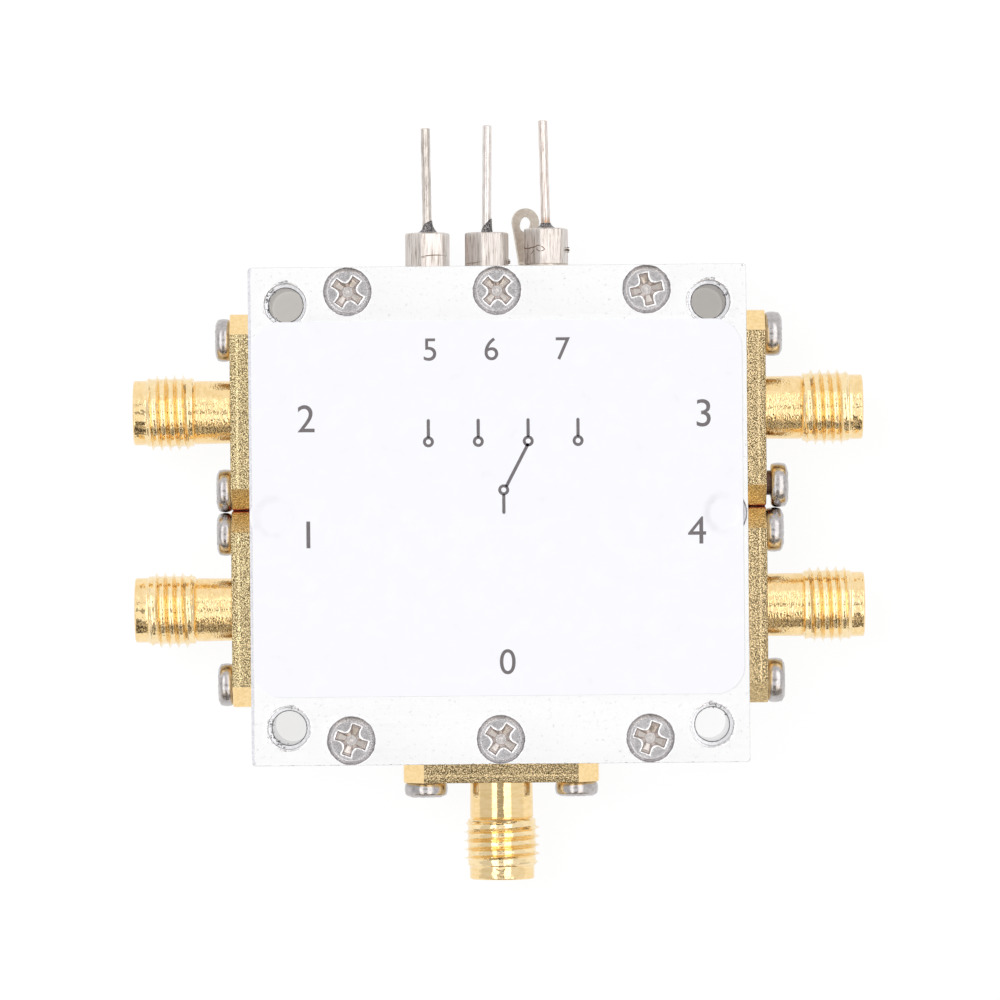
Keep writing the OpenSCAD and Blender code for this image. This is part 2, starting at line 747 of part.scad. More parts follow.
module blocking_capacitors() {
    color("tan") translate([0, 0, copper_top]) {
        for (side = [-1, 1]) for (y = [port_lo, port_hi])
            translate([side * cap_at, y, 0]) chip_part(cap_size);
        translate([0, -cap_at, 0]) rotate([0, 0, 90]) chip_part(cap_size);
    }
}

module at_control(y) {
    for (i = [-1:1]) translate([i * feed_pitch - feed_shift, y, copper_top]) children();
}

module bypass_capacitors() {
    color("tan") at_control(bypass_y) translate([bypass_size.x / 2, 0, 0]) chip_part(bypass_size);
}

module series_resistors() {
    color("dimgray") at_control(resistor_y) chip_part(resistor_size);
}

// A fillet of solder over the copper, round a pin that runs along the wall's normal
module solder(pin_d, reach) {
    low = copper_top - port_z;
    foot = (pin_d + solder_spread) / 2;
    translate([0, 0, -wall - reach + solder_end]) difference() {
        linear_extrude(reach - board_gap - 2 * solder_end) polygon([
            [-foot, low], [foot, low], [pin_d / 2 + 2 * solder_gap, 0],
            [-pin_d / 2 - 2 * solder_gap, 0]
        ]);
        translate([0, 0, -over]) cylinder(r = pin_d / 2 + solder_gap, h = reach + 2 * over);
    }
}

module solder_joints() {
    color("lightgray") {
        for (i = [0:len(PORTS) - 1]) on_port(i)
            solder(contact_d, contact_reach);
        for (i = [0:2]) on_feed(i) solder(lead_core_d, lead_reach);
    }
}

housing_body();
lid();
label();
lid_screws();
flange_screws();
port_shell(0);  // port_1_shell
port_shell(1);  // port_2_shell
port_shell(2);  // port_3_shell
port_shell(3);  // port_4_shell
port_shell(4);  // common_port_shell
port_insulator(0);  // port_1_insulator
port_insulator(1);  // port_2_insulator
port_insulator(2);  // port_3_insulator
port_insulator(3);  // port_4_insulator
port_insulator(4);  // common_port_insulator
port_contact(0);  // port_1_contact
port_contact(1);  // port_2_contact
port_contact(2);  // port_3_contact
port_contact(3);  // port_4_contact
port_contact(4);  // common_port_contact
feedthrough_body(0);  // feedthrough_1_body
feedthrough_body(1);  // feedthrough_2_body
feedthrough_body(2);  // feedthrough_3_body
feedthrough_lead(0);  // feedthrough_1_lead
feedthrough_lead(1);  // feedthrough_2_lead
feedthrough_lead(2);  // feedthrough_3_lead
feedthrough_ceramic(0);  // feedthrough_1_ceramic
feedthrough_ceramic(1);  // feedthrough_2_ceramic
feedthrough_ceramic(2);  // feedthrough_3_ceramic
feedthrough_seals(0);  // feedthrough_1_seals
feedthrough_seals(1);  // feedthrough_2_seals
feedthrough_seals(2);  // feedthrough_3_seals
ground_lug();
circuit_board();
copper_traces();
board_screws();
switch_chip();
blocking_capacitors();
bypass_capacitors();
series_resistors();
solder_joints();
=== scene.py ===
import math
import random

import bmesh
import bpy
from mathutils import Matrix, Vector, noise
from mathutils.geometry import tessellate_polygon


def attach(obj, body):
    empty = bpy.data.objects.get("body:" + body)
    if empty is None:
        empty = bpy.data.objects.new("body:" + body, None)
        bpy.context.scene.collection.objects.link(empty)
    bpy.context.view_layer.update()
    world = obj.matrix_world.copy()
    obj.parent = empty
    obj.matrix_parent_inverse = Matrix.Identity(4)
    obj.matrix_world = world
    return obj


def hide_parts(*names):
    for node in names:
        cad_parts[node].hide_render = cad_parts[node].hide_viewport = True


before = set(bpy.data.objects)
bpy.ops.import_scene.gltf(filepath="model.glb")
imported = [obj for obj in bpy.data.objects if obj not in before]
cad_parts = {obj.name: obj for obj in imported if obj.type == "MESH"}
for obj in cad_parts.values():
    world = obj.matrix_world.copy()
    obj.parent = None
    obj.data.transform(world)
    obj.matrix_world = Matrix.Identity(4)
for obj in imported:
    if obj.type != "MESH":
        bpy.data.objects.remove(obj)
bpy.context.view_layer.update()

# The module lies on its flat base and is looked at from straight above through a long lens,
# with the feedthroughs away from the viewer and the housing turned half a degree.
camera = bpy.data.objects.new("camera", bpy.data.cameras.new("camera"))
camera.data.lens = 269.35
camera.location = (0.0000957, 0.001189, 0.612)
camera.rotation_euler = (0, 0, math.radians(-0.517))
bpy.context.collection.objects.link(camera)
bpy.context.scene.camera = camera
bpy.context.scene.view_settings.view_transform = "Standard"


# A white tent stands round the table. Polished metal mirrors its two long softboxes, the gap
# with the lens between them, and the dark and cluttered side where the viewer stands.
def add(tree, kind, inputs={}, **settings):
    """Adds a shader node, with a link or a value for each input."""
    made = tree.nodes.new("ShaderNode" + kind)
    for name, value in settings.items():
        setattr(made, name, value)
    for name, value in inputs.items():
        if isinstance(value, bpy.types.NodeSocket):
            tree.links.new(value, made.inputs[name])
        else:
            made.inputs[name].default_value = value
    return made


def reckon(tree, operation, *values):
    return add(tree, "Math", dict(enumerate(values)), operation=operation).outputs[0]


def product(tree, *values):
    result = values[0]
    for value in values[1:]:
        result = reckon(tree, "MULTIPLY", result, value)
    return result


def rise(tree, value, start, end, low=0.0, high=1.0):
    """A smooth step from low to high while a value goes from start to end."""
    return add(tree, "MapRange", {"Value": value, "From Min": start, "From Max": end,
                                  "To Min": low, "To Max": high},
               interpolation_type="SMOOTHSTEP").outputs[0]


def near(tree, value, middle, outer, inner):
    """One where a value is within inner of the middle, and nothing beyond outer."""
    away = reckon(tree, "ABSOLUTE", reckon(tree, "SUBTRACT", value, middle))
    return rise(tree, away, outer, inner)


def toward(tree, value, target, share):
    """A value that has gone a share of the way to a target."""
    gap = reckon(tree, "SUBTRACT", target, value)
    return reckon(tree, "MULTIPLY_ADD", gap, share, value)


tent = bpy.data.worlds.new("tent")
bpy.context.scene.world = tent
tent.use_nodes = True
sky = tent.node_tree
sky.nodes.clear()


def tilt(over, under):
    """The angle of a slope, in degrees."""
    return reckon(sky, "DEGREES", reckon(sky, "ARCTAN2", over, under))


direction = add(sky, "TexCoord").outputs["Generated"]
right, back, up = add(sky, "SeparateXYZ", {0: direction}).outputs
right_tilt = tilt(right, up)
back_tilt = tilt(back, up)
side_tilt = reckon(sky, "ABSOLUTE", right_tilt)
from_front = tilt(reckon(sky, "ABSOLUTE", right), reckon(sky, "MULTIPLY", back, -1.0))

dark_side = product(sky, rise(sky, from_front, 55, 30), rise(sky, back_tilt, -30, -32),
                    rise(sky, back_tilt, -104, -92))
clutter = add(sky, "TexNoise", {"Vector": direction, "Scale": 13.0, "Detail": 1.0}).outputs["Fac"]
clutter_light = product(sky, rise(sky, clutter, 0.49, 0.64, 0.12, 2.4),
                        rise(sky, back_tilt, -36, -84, 0.32, 0.68))
long_way = near(sky, back_tilt, 0, 60, 40)
far_wall = product(sky, rise(sky, side_tilt, 33, 37), rise(sky, side_tilt, 98, 80), long_way)
gap = product(sky, rise(sky, right_tilt, -17, -15), rise(sky, right_tilt, 9, 7))
gap_cloth = product(sky, gap, rise(sky, back_tilt, -32, -30), rise(sky, back_tilt, 28, 26))
softboxes = product(sky, reckon(sky, "SUBTRACT", 1.0, gap), rise(sky, side_tilt, 37, 32), long_way)
lens = product(sky, gap, near(sky, back_tilt, 0, 6, 3.5))
seams = product(sky, gap, reckon(sky, "MAXIMUM", near(sky, back_tilt, 27.5, 1.6, 0.6),
                                 near(sky, back_tilt, -31, 1.6, 0.6)))
mirrored = 1.0
wall_light = rise(sky, right_tilt, -5, 5, 0.74, 0.88)
for light, share in ((clutter_light, dark_side), (wall_light, far_wall), (1.08, gap_cloth),
                     (2.0, softboxes), (0.42, lens), (0.2, seams)):
    mirrored = toward(sky, mirrored, light, share)

ray = add(sky, "LightPath").outputs
warm = reckon(sky, "MULTIPLY", dark_side, ray["Is Glossy Ray"])
tint = add(sky, "CombineColor", {
    0: toward(sky, 1.0, 1.04, warm), 1: toward(sky, 1.0, 0.96, warm), 2: toward(sky, 1.0, 0.86, warm)})
plain = toward(sky, 0.765, 1.0, ray["Is Camera Ray"])
add(sky, "OutputWorld", {"Surface": add(sky, "Background", {
    "Color": tint.outputs[0],
    "Strength": toward(sky, plain, mirrored, ray["Is Glossy Ray"])}).outputs[0]})

lamp = bpy.data.objects.new("window", bpy.data.lights.new("window", "SUN"))
lamp.data.energy = 1.0
lamp.data.angle = math.radians(35)
lamp.rotation_euler = Vector((0.55, -0.3, -1)).to_track_quat("-Z", "Y").to_euler()
lamp.visible_glossy = False
bpy.context.collection.objects.link(lamp)

# The table top is a white sheet that glows for the camera and in reflections. Under the
# module its glow is painted darker towards the back and from corner to corner, a painted
# shade, so that the corner holes show it as light grey at the back and nearly white at the
# front; where it is painted darker it is also tinted warmer.
table_mesh = bpy.data.meshes.new("table")
table_mesh.from_pydata([(-2, -2, -0.0001), (2, -2, -0.0001), (2, 2, -0.0001), (-2, 2, -0.0001)],
                       [], [(0, 1, 2, 3)])
table = bpy.data.objects.new("table", table_mesh)
bpy.context.collection.objects.link(table)
sheet = bpy.data.materials.new("table_sheet")
sheet.use_nodes = True
tree = sheet.node_tree
tree.nodes.clear()
right, back, _ = add(tree, "SeparateXYZ", {0: add(tree, "TexCoord").outputs["Object"]}).outputs
under = product(tree, near(tree, right, 0, 0.0201, 0.0199), near(tree, back, 0, 0.0201, 0.0199))
# Painted shade under the module: less glow towards the back, and more or less by corner.
painted_shade_to_back = rise(tree, back, -0.017, 0.017, 0.845, 0.425)
painted_shade_by_corner = rise(tree, back, -0.001, 0.001, -230, -140)
glow = reckon(tree, "MULTIPLY_ADD", reckon(tree, "MULTIPLY", right, back), painted_shade_by_corner, painted_shade_to_back)
glow = toward(tree, 0.9, glow, under)
ray = add(tree, "LightPath").outputs
glow = product(tree, glow, reckon(tree, "MAXIMUM", ray["Is Camera Ray"], ray["Is Glossy Ray"]))
# The painted shade turns warmer where the glow is lower.
tint = add(tree, "CombineColor", {
    0: 1.0, 1: rise(tree, glow, 0.4, 0.9, 0.95, 1.0), 2: rise(tree, glow, 0.4, 0.9, 0.89, 1.0)})
lit = add(tree, "MixShader", {
    0: glow,
    1: add(tree, "BsdfDiffuse", {"Color": (0.97, 0.97, 0.97, 1)}).outputs[0],
    2: add(tree, "Emission", {"Color": tint.outputs[0], "Strength": 1.03}).outputs[0]})
add(tree, "OutputMaterial", {"Surface": lit.outputs[0]})
table_mesh.materials.append(sheet)


# The housing is one block of aluminium, milled and then blasted with fine glass beads.
# Its five ports and the three feedthroughs go into the walls, and it stands on its base.
def finish(name, colour, metallic, roughness):
    made = bpy.data.materials.new(name)
    made.use_nodes = True
    made.node_tree.nodes.clear()
    shader = add(made.node_tree, "BsdfPrincipled", {
        "Base Color": (*colour, 1), "Metallic": metallic, "Roughness": roughness})
    add(made.node_tree, "OutputMaterial", {"Surface": shader.outputs[0]})
    return made, made.node_tree, shader


def in_mm(tree, stretch=(1, 1, 1)):
    place = add(tree, "TexCoord").outputs["Object"]
    return add(tree, "Mapping", {"Vector": place, "Scale": [1000 * s for s in stretch]}).outputs[0]


def spots(tree, per_mm, stretch=(1, 1, 1), detail=4.0, roughness=0.6):
    """Noise with so many spots to a millimetre, as a value round 0.5."""
    return add(tree, "TexNoise", {"Vector": in_mm(tree, stretch), "Scale": per_mm,
                                  "Detail": detail, "Roughness": roughness}).outputs["Fac"]


def tones(tree, shader, value, *stops):
    """Colours a surface by a value, with a colour at each stop."""
    ramp = add(tree, "ValToRGB", {"Fac": value})
    band = ramp.color_ramp.elements
    while len(band) < len(stops):
        band.new(0.5)
    for mark, (at, colour) in zip(band, stops):
        mark.position = at
        mark.color = (*colour, 1)
    tree.links.new(ramp.outputs[0], shader.inputs["Base Color"])


def bumps(tree, shader, value, depth_mm):
    bump = add(tree, "Bump", {"Height": value, "Strength": 1.0, "Distance": depth_mm / 1000})
    tree.links.new(bump.outputs[0], shader.inputs["Normal"])


def dress(name, material):
    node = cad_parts[name]
    node.data.materials.clear()
    node.data.materials.append(material)


milled, tree, shader = finish("milled_aluminium", (0.86, 0.86, 0.87), 1.0, 0.24)
cutter_marks = spots(tree, 1.5, (0.25, 0.25, 6))
tones(tree, shader, cutter_marks, (0.35, (0.78, 0.78, 0.79)), (0.7, (0.9, 0.9, 0.91)))
bumps(tree, shader, cutter_marks, 0.01)
dress("housing_body", milled)


# The lid is a 2 mm plate of the same aluminium, sawn, drilled, countersunk and blasted pale.
# The drill left a rolled and torn lip round each corner hole, and eight screws hold the lid.
def mottled(name, colour, metallic, roughness, per_mm, *stops, detail=4.0, grain=0, depth_mm=0.0):
    """A finish with cloudy tones and, where it has a grain, fine bumps."""
    made, tree, shader = finish(name, colour, metallic, roughness)
    tones(tree, shader, spots(tree, per_mm, detail=detail), *stops)
    if grain:
        bumps(tree, shader, spots(tree, grain), depth_mm)
    return made


def circle(r, z, count=96, centre=(0, 0), shape=None):
    """A ring of points; shape gives how far it grows and lifts at an angle."""
    points = []
    for k in range(count):
        a = 2 * math.pi * k / count
        grow, lift = shape(a) if shape else (0, 0)
        points.append(Vector((centre[0] + (r + grow) * math.cos(a),
                              centre[1] + (r + grow) * math.sin(a), z + lift)))
    return points


def skin(loops, picks=None, first=False, last=False):
    """Faces from loop to loop, with a material pick for each side, and caps if wanted."""
    count = len(loops[0])
    points = [p for loop in loops for p in loop]
    faces, kinds = [], []
    for k in range(len(loops) - 1):
        for i in range(count):
            j = (i + 1) % count
            faces.append((k * count + i, k * count + j, (k + 1) * count + j, (k + 1) * count + i))
            kinds.append(picks[i] if picks else 0)
    for closed, start in ((first, 0), (last, len(points) - count)):
        if closed:
            loop = points[start:start + count]
            points.append(sum(loop, Vector()) / count)
            for i in range(count):
                faces.append((start + i, start + (i + 1) % count, len(points) - 1))
                kinds.append(0)
    return points, faces, kinds


def flat(outline, holes, pick=0):
    """A level face with holes."""
    loops = [outline, *holes]
    points = [p for loop in loops for p in loop]
    faces = tessellate_polygon([[Vector((p.x, p.y, 0)) for p in loop] for loop in loops])
    return points, [tuple(f) for f in faces], [pick] * len(faces)


def piece(name, shells, materials, sharp=30):
    """Makes one object of shells in millimetres, which rides on the root body."""
    points, faces, kinds = [], [], []
    for verts, polygons, picks in shells:
        start = len(points)
        points += [p / 1000 for p in verts]
        faces += [[start + i for i in f] for f in polygons]
        kinds += picks
    mesh = bpy.data.meshes.new(name)
    mesh.from_pydata(points, [], faces)
    mesh.polygons.foreach_set("material_index", kinds)
    work = bmesh.new()
    work.from_mesh(mesh)
    bmesh.ops.remove_doubles(work, verts=work.verts, dist=2e-8)
    bmesh.ops.dissolve_degenerate(work, edges=work.edges, dist=1e-9)
    bmesh.ops.recalc_face_normals(work, faces=work.faces)
    work.to_mesh(mesh)
    work.free()
    mesh.polygons.foreach_set("use_smooth", [True] * len(mesh.polygons))
    mesh.set_sharp_from_angle(angle=math.radians(sharp))
    for material in materials:
        mesh.materials.append(material)
    made = bpy.data.objects.new(name, mesh)
    bpy.context.collection.objects.link(made)
    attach(made, "root")
    return made


def rounded_square(half_x, half_y, r, z, steps=8, centre=(0, 0), pitch=0, shape=None):
    """A loop with round corners; shape gives how far a point moves in, at every pitch."""
    points = []
    for sx, sy, start in ((1, 1, 0), (-1, 1, 90), (-1, -1, 180), (1, -1, 270)):
        for k in range(steps + 1):
            a = math.radians(start + 90 * k / steps)
            points.append(Vector((centre[0] + sx * (half_x - r) + r * math.cos(a),
                                  centre[1] + sy * (half_y - r) + r * math.sin(a), z)))
        if pitch:
            along = Vector((-sx, 0, 0)) if sx == sy else Vector((0, -sy, 0))
            reach = 2 * ((half_x if sx == sy else half_y) - r)
            corner, parts = points[-1], round(reach / pitch)
            points += [corner + along * reach * k / parts for k in range(1, parts)]
    if shape:
        points = [p + (Vector((0, 0, p.z)) - p).normalized() * shape(p) for p in points]
    return points


def torn(seed, spread, rate):
    """A ragged run round a circle, by angle."""
    return lambda a: spread * noise.noise(Vector((rate * math.cos(a), rate * math.sin(a), seed)))


lid_top, lid_base = 12.0, 10.0
corner_holes = [(-17, 17), (17, 17), (-17, -17), (17, -17)]
screw_places = [(-12, 18), (0, 18), (12, 18), (-12, -18), (0, -18), (12, -18), (-18, 0), (18, 0)]
lid_shells, top_holes, base_holes = [], [], []
hole_steps, screw_hole_steps = 120, 96
CUT, LEFT_SHADE = 1, 2
cut = [CUT] * hole_steps
for k, centre in enumerate(corner_holes):
    rough, lump = torn(k + 0.3, 0.035, 3), torn(k + 5.7, 0.03, 3)
    rings = [circle(1.86, lid_top, hole_steps, centre)]
    for r, z, share in ((1.82, 0.012, 0.4), (1.76, 0.02, 0.8), (1.71, 0.0, 0.5), (1.68, -0.08, 0.2)):
        rings.append(circle(r, lid_top + z, hole_steps, centre,
                            lambda a: (0.5 * rough(a), share * max(-0.02, lump(a)))))
    rings += [circle(1.68, lid_top - 1, hole_steps, centre, lambda a: (0.4 * rough(a), 0)),
              circle(1.7, lid_base, hole_steps, centre)]
    lid_shells += [skin(rings[:4], cut), skin(rings[3:], cut)]
    top_holes.append(rings[0])
    base_holes.append(rings[-1])
for k, centre in enumerate(screw_places):
    ragged = torn(k + 11.1, 0.03, 6)
    rings = [circle(1.985, lid_top, screw_hole_steps, centre)]
    rings += [circle(r, lid_top + z, screw_hole_steps, centre, lambda a: (ragged(a), 0))
              for r, z in ((1.95, 0.012), (1.925, -0.03), (1.91, -0.12))]
    rings += [circle(r, lid_top + z, screw_hole_steps, centre)
              for r, z in ((1.9, -0.28), (1.1, -1.08), (1.1, -2))]
    lid_shells.append(skin(rings, cut if abs(centre[0]) < 18 else None))
    top_holes.append(rings[0])
    base_holes.append(rings[-1])


def sawn(p):
    """How far the saw's cut runs in: most at the left, and a little at the front."""
    grain = noise.noise(Vector((5 * p.x, 5 * p.y, 3)))
    if p.x < -19.8:
        return 0.27 + 0.05 * grain
    return 0.14 * max(0, grain) if p.y < -19.8 else 0.02 * grain


half_lid = 20
edges = [rounded_square(half_lid - inset, half_lid - inset, 0.3, z, pitch=0.15, shape=ragged)
         for inset, z, ragged in ((0.035, lid_top, sawn), (0.0, lid_top - 0.13, None),
                                  (0, lid_base + 0.05, None), (0.05, lid_base, None))]
# The left edge's cut gets a flat grey, a painted shade band; the other edges stay cut metal.
lid_shells += [skin(edges[:2], [LEFT_SHADE if p.x < -19.6 else CUT for p in edges[0]]), skin(edges[1:]),
               flat(edges[0], top_holes), flat(edges[-1], base_holes)]

blasted, tree, shader = finish("blasted_aluminium", (0.93, 0.93, 0.935), 0.2, 0.7)
tones(tree, shader, spots(tree, 3.4, detail=6.0, roughness=0.75),
      (0.31, (0.66, 0.66, 0.69)), (0.4, (0.93, 0.93, 0.935)), (1.0, (0.95, 0.95, 0.95)))
bumps(tree, shader, spots(tree, 9), 0.02)
cut_aluminium = mottled("cut_aluminium", (0.75, 0.74, 0.75), 1.0, 0.2, 5,
                        (0.3, (0.5, 0.49, 0.5)), (0.65, (0.85, 0.84, 0.85)), grain=10, depth_mm=0.01)
# A flat grey that stands in for the shade on the lid's left chamfer: painted shade.
left_chamfer_shade = mottled("left_chamfer_shade", (0.8, 0.8, 0.83), 0.0, 0.6, 8,
                    (0.35, (0.6, 0.6, 0.64)), (0.6, (0.83, 0.83, 0.87)), grain=9, depth_mm=0.015)
lid = piece("lid_plate", lid_shells, [blasted, cut_aluminium, left_chamfer_shade], 35)
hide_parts("lid")

# Chips of aluminium cling to the drilled corner holes, at their back edges and on the step
# where the housing's hole is smaller. The dark chips on each step lie on the side in shade,
# so they are burrs and painted shade at once. The step has a torn dark inner edge, a burr
# that is also painted shade, and a ring painted bright, a painted light against its shade.
swarf_and_painted_shade = mottled("swarf_and_painted_shade", (0.5, 0.5, 0.51), 1.0, 0.3, 9,
                (0.4, (0.05, 0.05, 0.055)), (0.6, (0.72, 0.71, 0.72)))
# Painted light: a pale polished finish that makes the shaded step read as lit.
painted_lit_step = mottled("painted_lit_step", (0.93, 0.93, 0.95), 1.0, 0.34, 5,
                       (0.35, (0.84, 0.84, 0.87)), (0.6, (0.98, 0.98, 1.0)), grain=9, depth_mm=0.01)
chance = random.Random(4)


def chip(centre, size):
    """A small ragged lump."""
    stretch = Vector((chance.uniform(0.7, 1.6), chance.uniform(0.7, 1.3), chance.uniform(0.4, 0.8)))
    seed = chance.uniform(0, 50)
    loops = []
    for k in range(1, 6):
        a = math.pi * k / 6
        loops.append([Vector((math.sin(a) * math.cos(b), math.sin(a) * math.sin(b), math.cos(a)))
                      for b in (2 * math.pi * i / 9 for i in range(9))])
    loops = [[p * (1 + 0.5 * noise.noise(2.2 * p + Vector((seed, 0, 0)))) for p in loop]
             for loop in loops]
    return skin([[Vector((centre[0] + size * stretch.x * p.x, centre[1] + size * stretch.y * p.y,
                          centre[2] + size * stretch.z * p.z)) for p in loop] for loop in loops],
                first=True, last=True)


chips = []
at_edges = [(15, 80, 106), (15, 76, 98), (15, 60, 92), (15, 76, 100)]
# On each step the chips lie on the arc in shade: burrs and painted shade at once.
burr_and_shade_arcs = [(52, 125, 250), (16, 20, 70), (44, 150, 265), (18, 20, 110)]
for arcs, nearest, farthest, z, largest in ((at_edges, 1.62, 1.9, lid_top + 0.01, 0.07),
                                            (burr_and_shade_arcs, 1.27, 1.66, lid_base + 0.03, 0.065)):
    for (x, y), (count, low, high) in zip(corner_holes, arcs):
        for k in range(count):
            a = math.radians(chance.uniform(low, high))
            r = chance.uniform(nearest, farthest)
            place = (x + r * math.cos(a), y + r * math.sin(a), z)
            chips.append(chip(place, chance.uniform(0.03, largest)))
for x, y in corner_holes:
    rolled = torn(x + y, 0.02, 4)
    # A dark rolled burr at the step's inner edge, also a painted shade line.
    chips.append(skin([circle(r, lid_base + z, hole_steps, (x, y), lambda a: (rolled(a), 0)) for r, z in (
        (1.37, 0.005), (1.375, 0.035), (1.4, 0.05), (1.43, 0.03), (1.44, 0.005), (1.37, 0.005))]))
    # A ring painted bright on the step, a painted light against its shade.
    chips.append(skin([circle(r, lid_base + 0.008, hole_steps, (x, y)) for r in (1.44, 1.66)], cut))
chips.append(chip((19.68, 19.84, lid_top - 0.01), 0.07))
piece("hole_burrs", chips, [swarf_and_painted_shade, painted_lit_step], 60)

# The label is a thin white vinyl sticker with round corners, stuck on a little above the middle.
# It sinks into the countersinks of the two screws that it covers, and a painted shade greys a
# ring round each, most on the ring's left side.
label_top, label_base = 12.1, 12.0
label_middle = (-0.085, 0.55)
half_label_x, half_label_y = 19.69, 15.05
covered = [(-18, 0), (18, 0)]
vinyl, tree, shader = finish("label_vinyl", (0.9, 0.9, 0.94), 0.0, 0.5)
right, back, _ = add(tree, "SeparateXYZ", {0: in_mm(tree)}).outputs
across = reckon(tree, "MULTIPLY_ADD", reckon(tree, "SIGN", right), -18.1, right)
to_screw = reckon(tree, "SQRT", reckon(tree, "ADD", reckon(tree, "POWER", across, 2.0),
                                       reckon(tree, "POWER", back, 2.0)))
# Painted shade: a grey ring round each covered screw, darker on its left side.
pressed = product(tree, rise(tree, across, 1.2, -1.2, 0.4, 1.0),
                  rise(tree, to_screw, 0.85, 1.45), rise(tree, to_screw, 2.05, 1.5))
tones(tree, shader, reckon(tree, "MULTIPLY_ADD", pressed, -0.36, spots(tree, 0.5, detail=5.0)),
      (0.1, (0.84, 0.84, 0.88)), (0.36, (0.912, 0.912, 0.957)), (0.7, (0.935, 0.935, 0.97)))
bumps(tree, shader, spots(tree, 3), 0.004)


def dish_depth(r):
    """How far the label sinks at a distance from a screw."""
    return 0.096 * (0.5 + 0.5 * math.cos(math.pi * min(1, max(0, (r - 1.0) / 0.54))))


label_shells, upper_rims, lower_rims = [], [], []
label_edge = [rounded_square(half_label_x - inset, half_label_y - inset, 2.3, z, 16, label_middle)
              for inset, z in ((0.02, label_top), (0, label_top - 0.02), (0, label_base))]
for centre in covered:
    for side_z, rims in ((label_top, upper_rims), (label_base, lower_rims)):
        rings = [circle(r, side_z - dish_depth(r), 96, centre)
                 for r in (1.55, 1.46, 1.37, 1.28, 1.19, 1.1, 1.0, 0.6)]
        label_shells.append(skin(rings, last=True))
        rims.append(rings[0])
label_shells += [skin(label_edge), flat(label_edge[0], upper_rims), flat(label_edge[-1], lower_rims)]
label = piece("label_sheet", label_shells, [vinyl], 20)
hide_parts("label")

# The print is one thin coat of warm grey ink: a plain number beside each jack and feedthrough
# and a simple drawing of one common line that goes to one of four.
ink = mottled("warm_grey_ink", (0.16, 0.14, 0.15), 0.0, 0.6, 6,
              (0.3, (0.13, 0.115, 0.12)), (0.75, (0.2, 0.18, 0.19)))
ink_base, ink_top = label_top - 0.01, label_top + 0.004
print_shells = []


def bar(p, q, width):
    """A printed line with round ends."""
    run = (Vector(q) - Vector(p)).normalized() * width / 2
    across = Vector((-run.y, run.x))
    ends = []
    for middle, start in ((Vector(q), -90), (Vector(p), 90)):
        for k in range(9):
            a = math.radians(start + 22.5 * k)
            ends.append(middle + run * math.cos(a) + across * math.sin(a))
    top = [Vector((v.x, v.y, ink_top)) for v in ends]
    return [skin([[Vector((v.x, v.y, ink_base)) for v in ends], top]), flat(top, [])]


capital_height = 0.73
for number, x, y, height in (("2", -15.4, 7.7, 2.3), ("3", 16.5, 7.9, 2.3), ("1", -15.3, -1.6, 2.3),
                             ("4", 15.9, -1.5, 2.3), ("5", -5.4, 13.2, 1.9), ("6", -0.5, 13.2, 1.9),
                             ("7", 5.2, 13.2, 1.9), ("0", 0.6, -11.9, 2.1)):
    letters = bpy.data.curves.new("number", "FONT")
    letters.body = number
    letters.size = height / capital_height
    letters.align_x = "CENTER"
    letters.align_y = "CENTER"
    letters.extrude = (ink_top - ink_base) / 2
    maker = bpy.data.objects.new("number", letters)
    shape = maker.to_mesh()
    middle = Vector((x, y, (ink_top + ink_base) / 2))
    print_shells.append(([v.co + middle for v in shape.vertices],
                         [tuple(f.vertices) for f in shape.polygons], [0] * len(shape.polygons)))
    maker.to_mesh_clear()
    bpy.data.objects.remove(maker)
    bpy.data.curves.remove(letters)
throws = (-5.6, -1.6, 2.4, 6.4)
for p, q in (((0.4, 0.2), (0.4, 1.55)), ((0.65, 2.35), (2.35, 5.6)),
             *(((x, 6.35), (x, 7.6)) for x in throws)):
    print_shells += bar(p, q, 0.26)
for centre in ((0.4, 2.0), *((x, 5.9) for x in throws)):
    outer, inner = ([circle(r, z, 40, centre) for z in (ink_top, ink_base)] for r in (0.44, 0.2))
    print_shells += [flat(outer[0], [inner[0]]), skin(outer), skin(inner)]
piece("label_print", print_shells, [ink], 30)


# The lid screws are small steel countersunk screws with a pressed cross. Their heads have a
# turned rim, lie a tenth of a millimetre deep and stopped at different angles. The floor of
# the cross is warmer and painted lighter against its shade, its lips are painted near white
# as a painted highlight, and the two under the label have brighter rims.
steel, tree, shader = finish("rolled_steel", (0.5, 0.48, 0.49), 1.0, 0.21)
height = add(tree, "SeparateXYZ", {0: in_mm(tree)}).outputs[2]
recess_tone_and_painted_light = reckon(tree, "MULTIPLY_ADD", spots(tree, 4, detail=6.0), 0.5,
              rise(tree, height, 11.45, 11.86, 0.0, 0.5))
# Painted light: the deep floor of the cross is lifted to a light warm tone against its shade, and the
# raised lips to near white, a painted highlight.
for low, high, step in ((11.3, 11.26, 0.3), (11.888, 11.904, 0.22)):
    recess_tone_and_painted_light = reckon(tree, "ADD", recess_tone_and_painted_light, rise(tree, height, low, high, 0.0, step))
tones(tree, shader, recess_tone_and_painted_light, (0.25, (0.66, 0.605, 0.57)), (0.55, (0.67, 0.63, 0.615)),
      (0.7, (0.47, 0.455, 0.46)), (0.85, (0.64, 0.625, 0.635)), (1.0, (0.97, 0.96, 0.97)))
bumps(tree, shader, spots(tree, 12), 0.008)
turned_rim = mottled("turned_rim", (0.52, 0.505, 0.51), 1.0, 0.24, 9,
                     (0.35, (0.36, 0.345, 0.35)), (0.65, (0.64, 0.62, 0.63)), grain=12, depth_mm=0.012)
bright_rim = mottled("bright_rim", (0.8, 0.8, 0.82), 0.0, 0.4, 6,
                     (0.35, (0.74, 0.74, 0.76)), (0.65, (0.88, 0.88, 0.9)), grain=12, depth_mm=0.012)


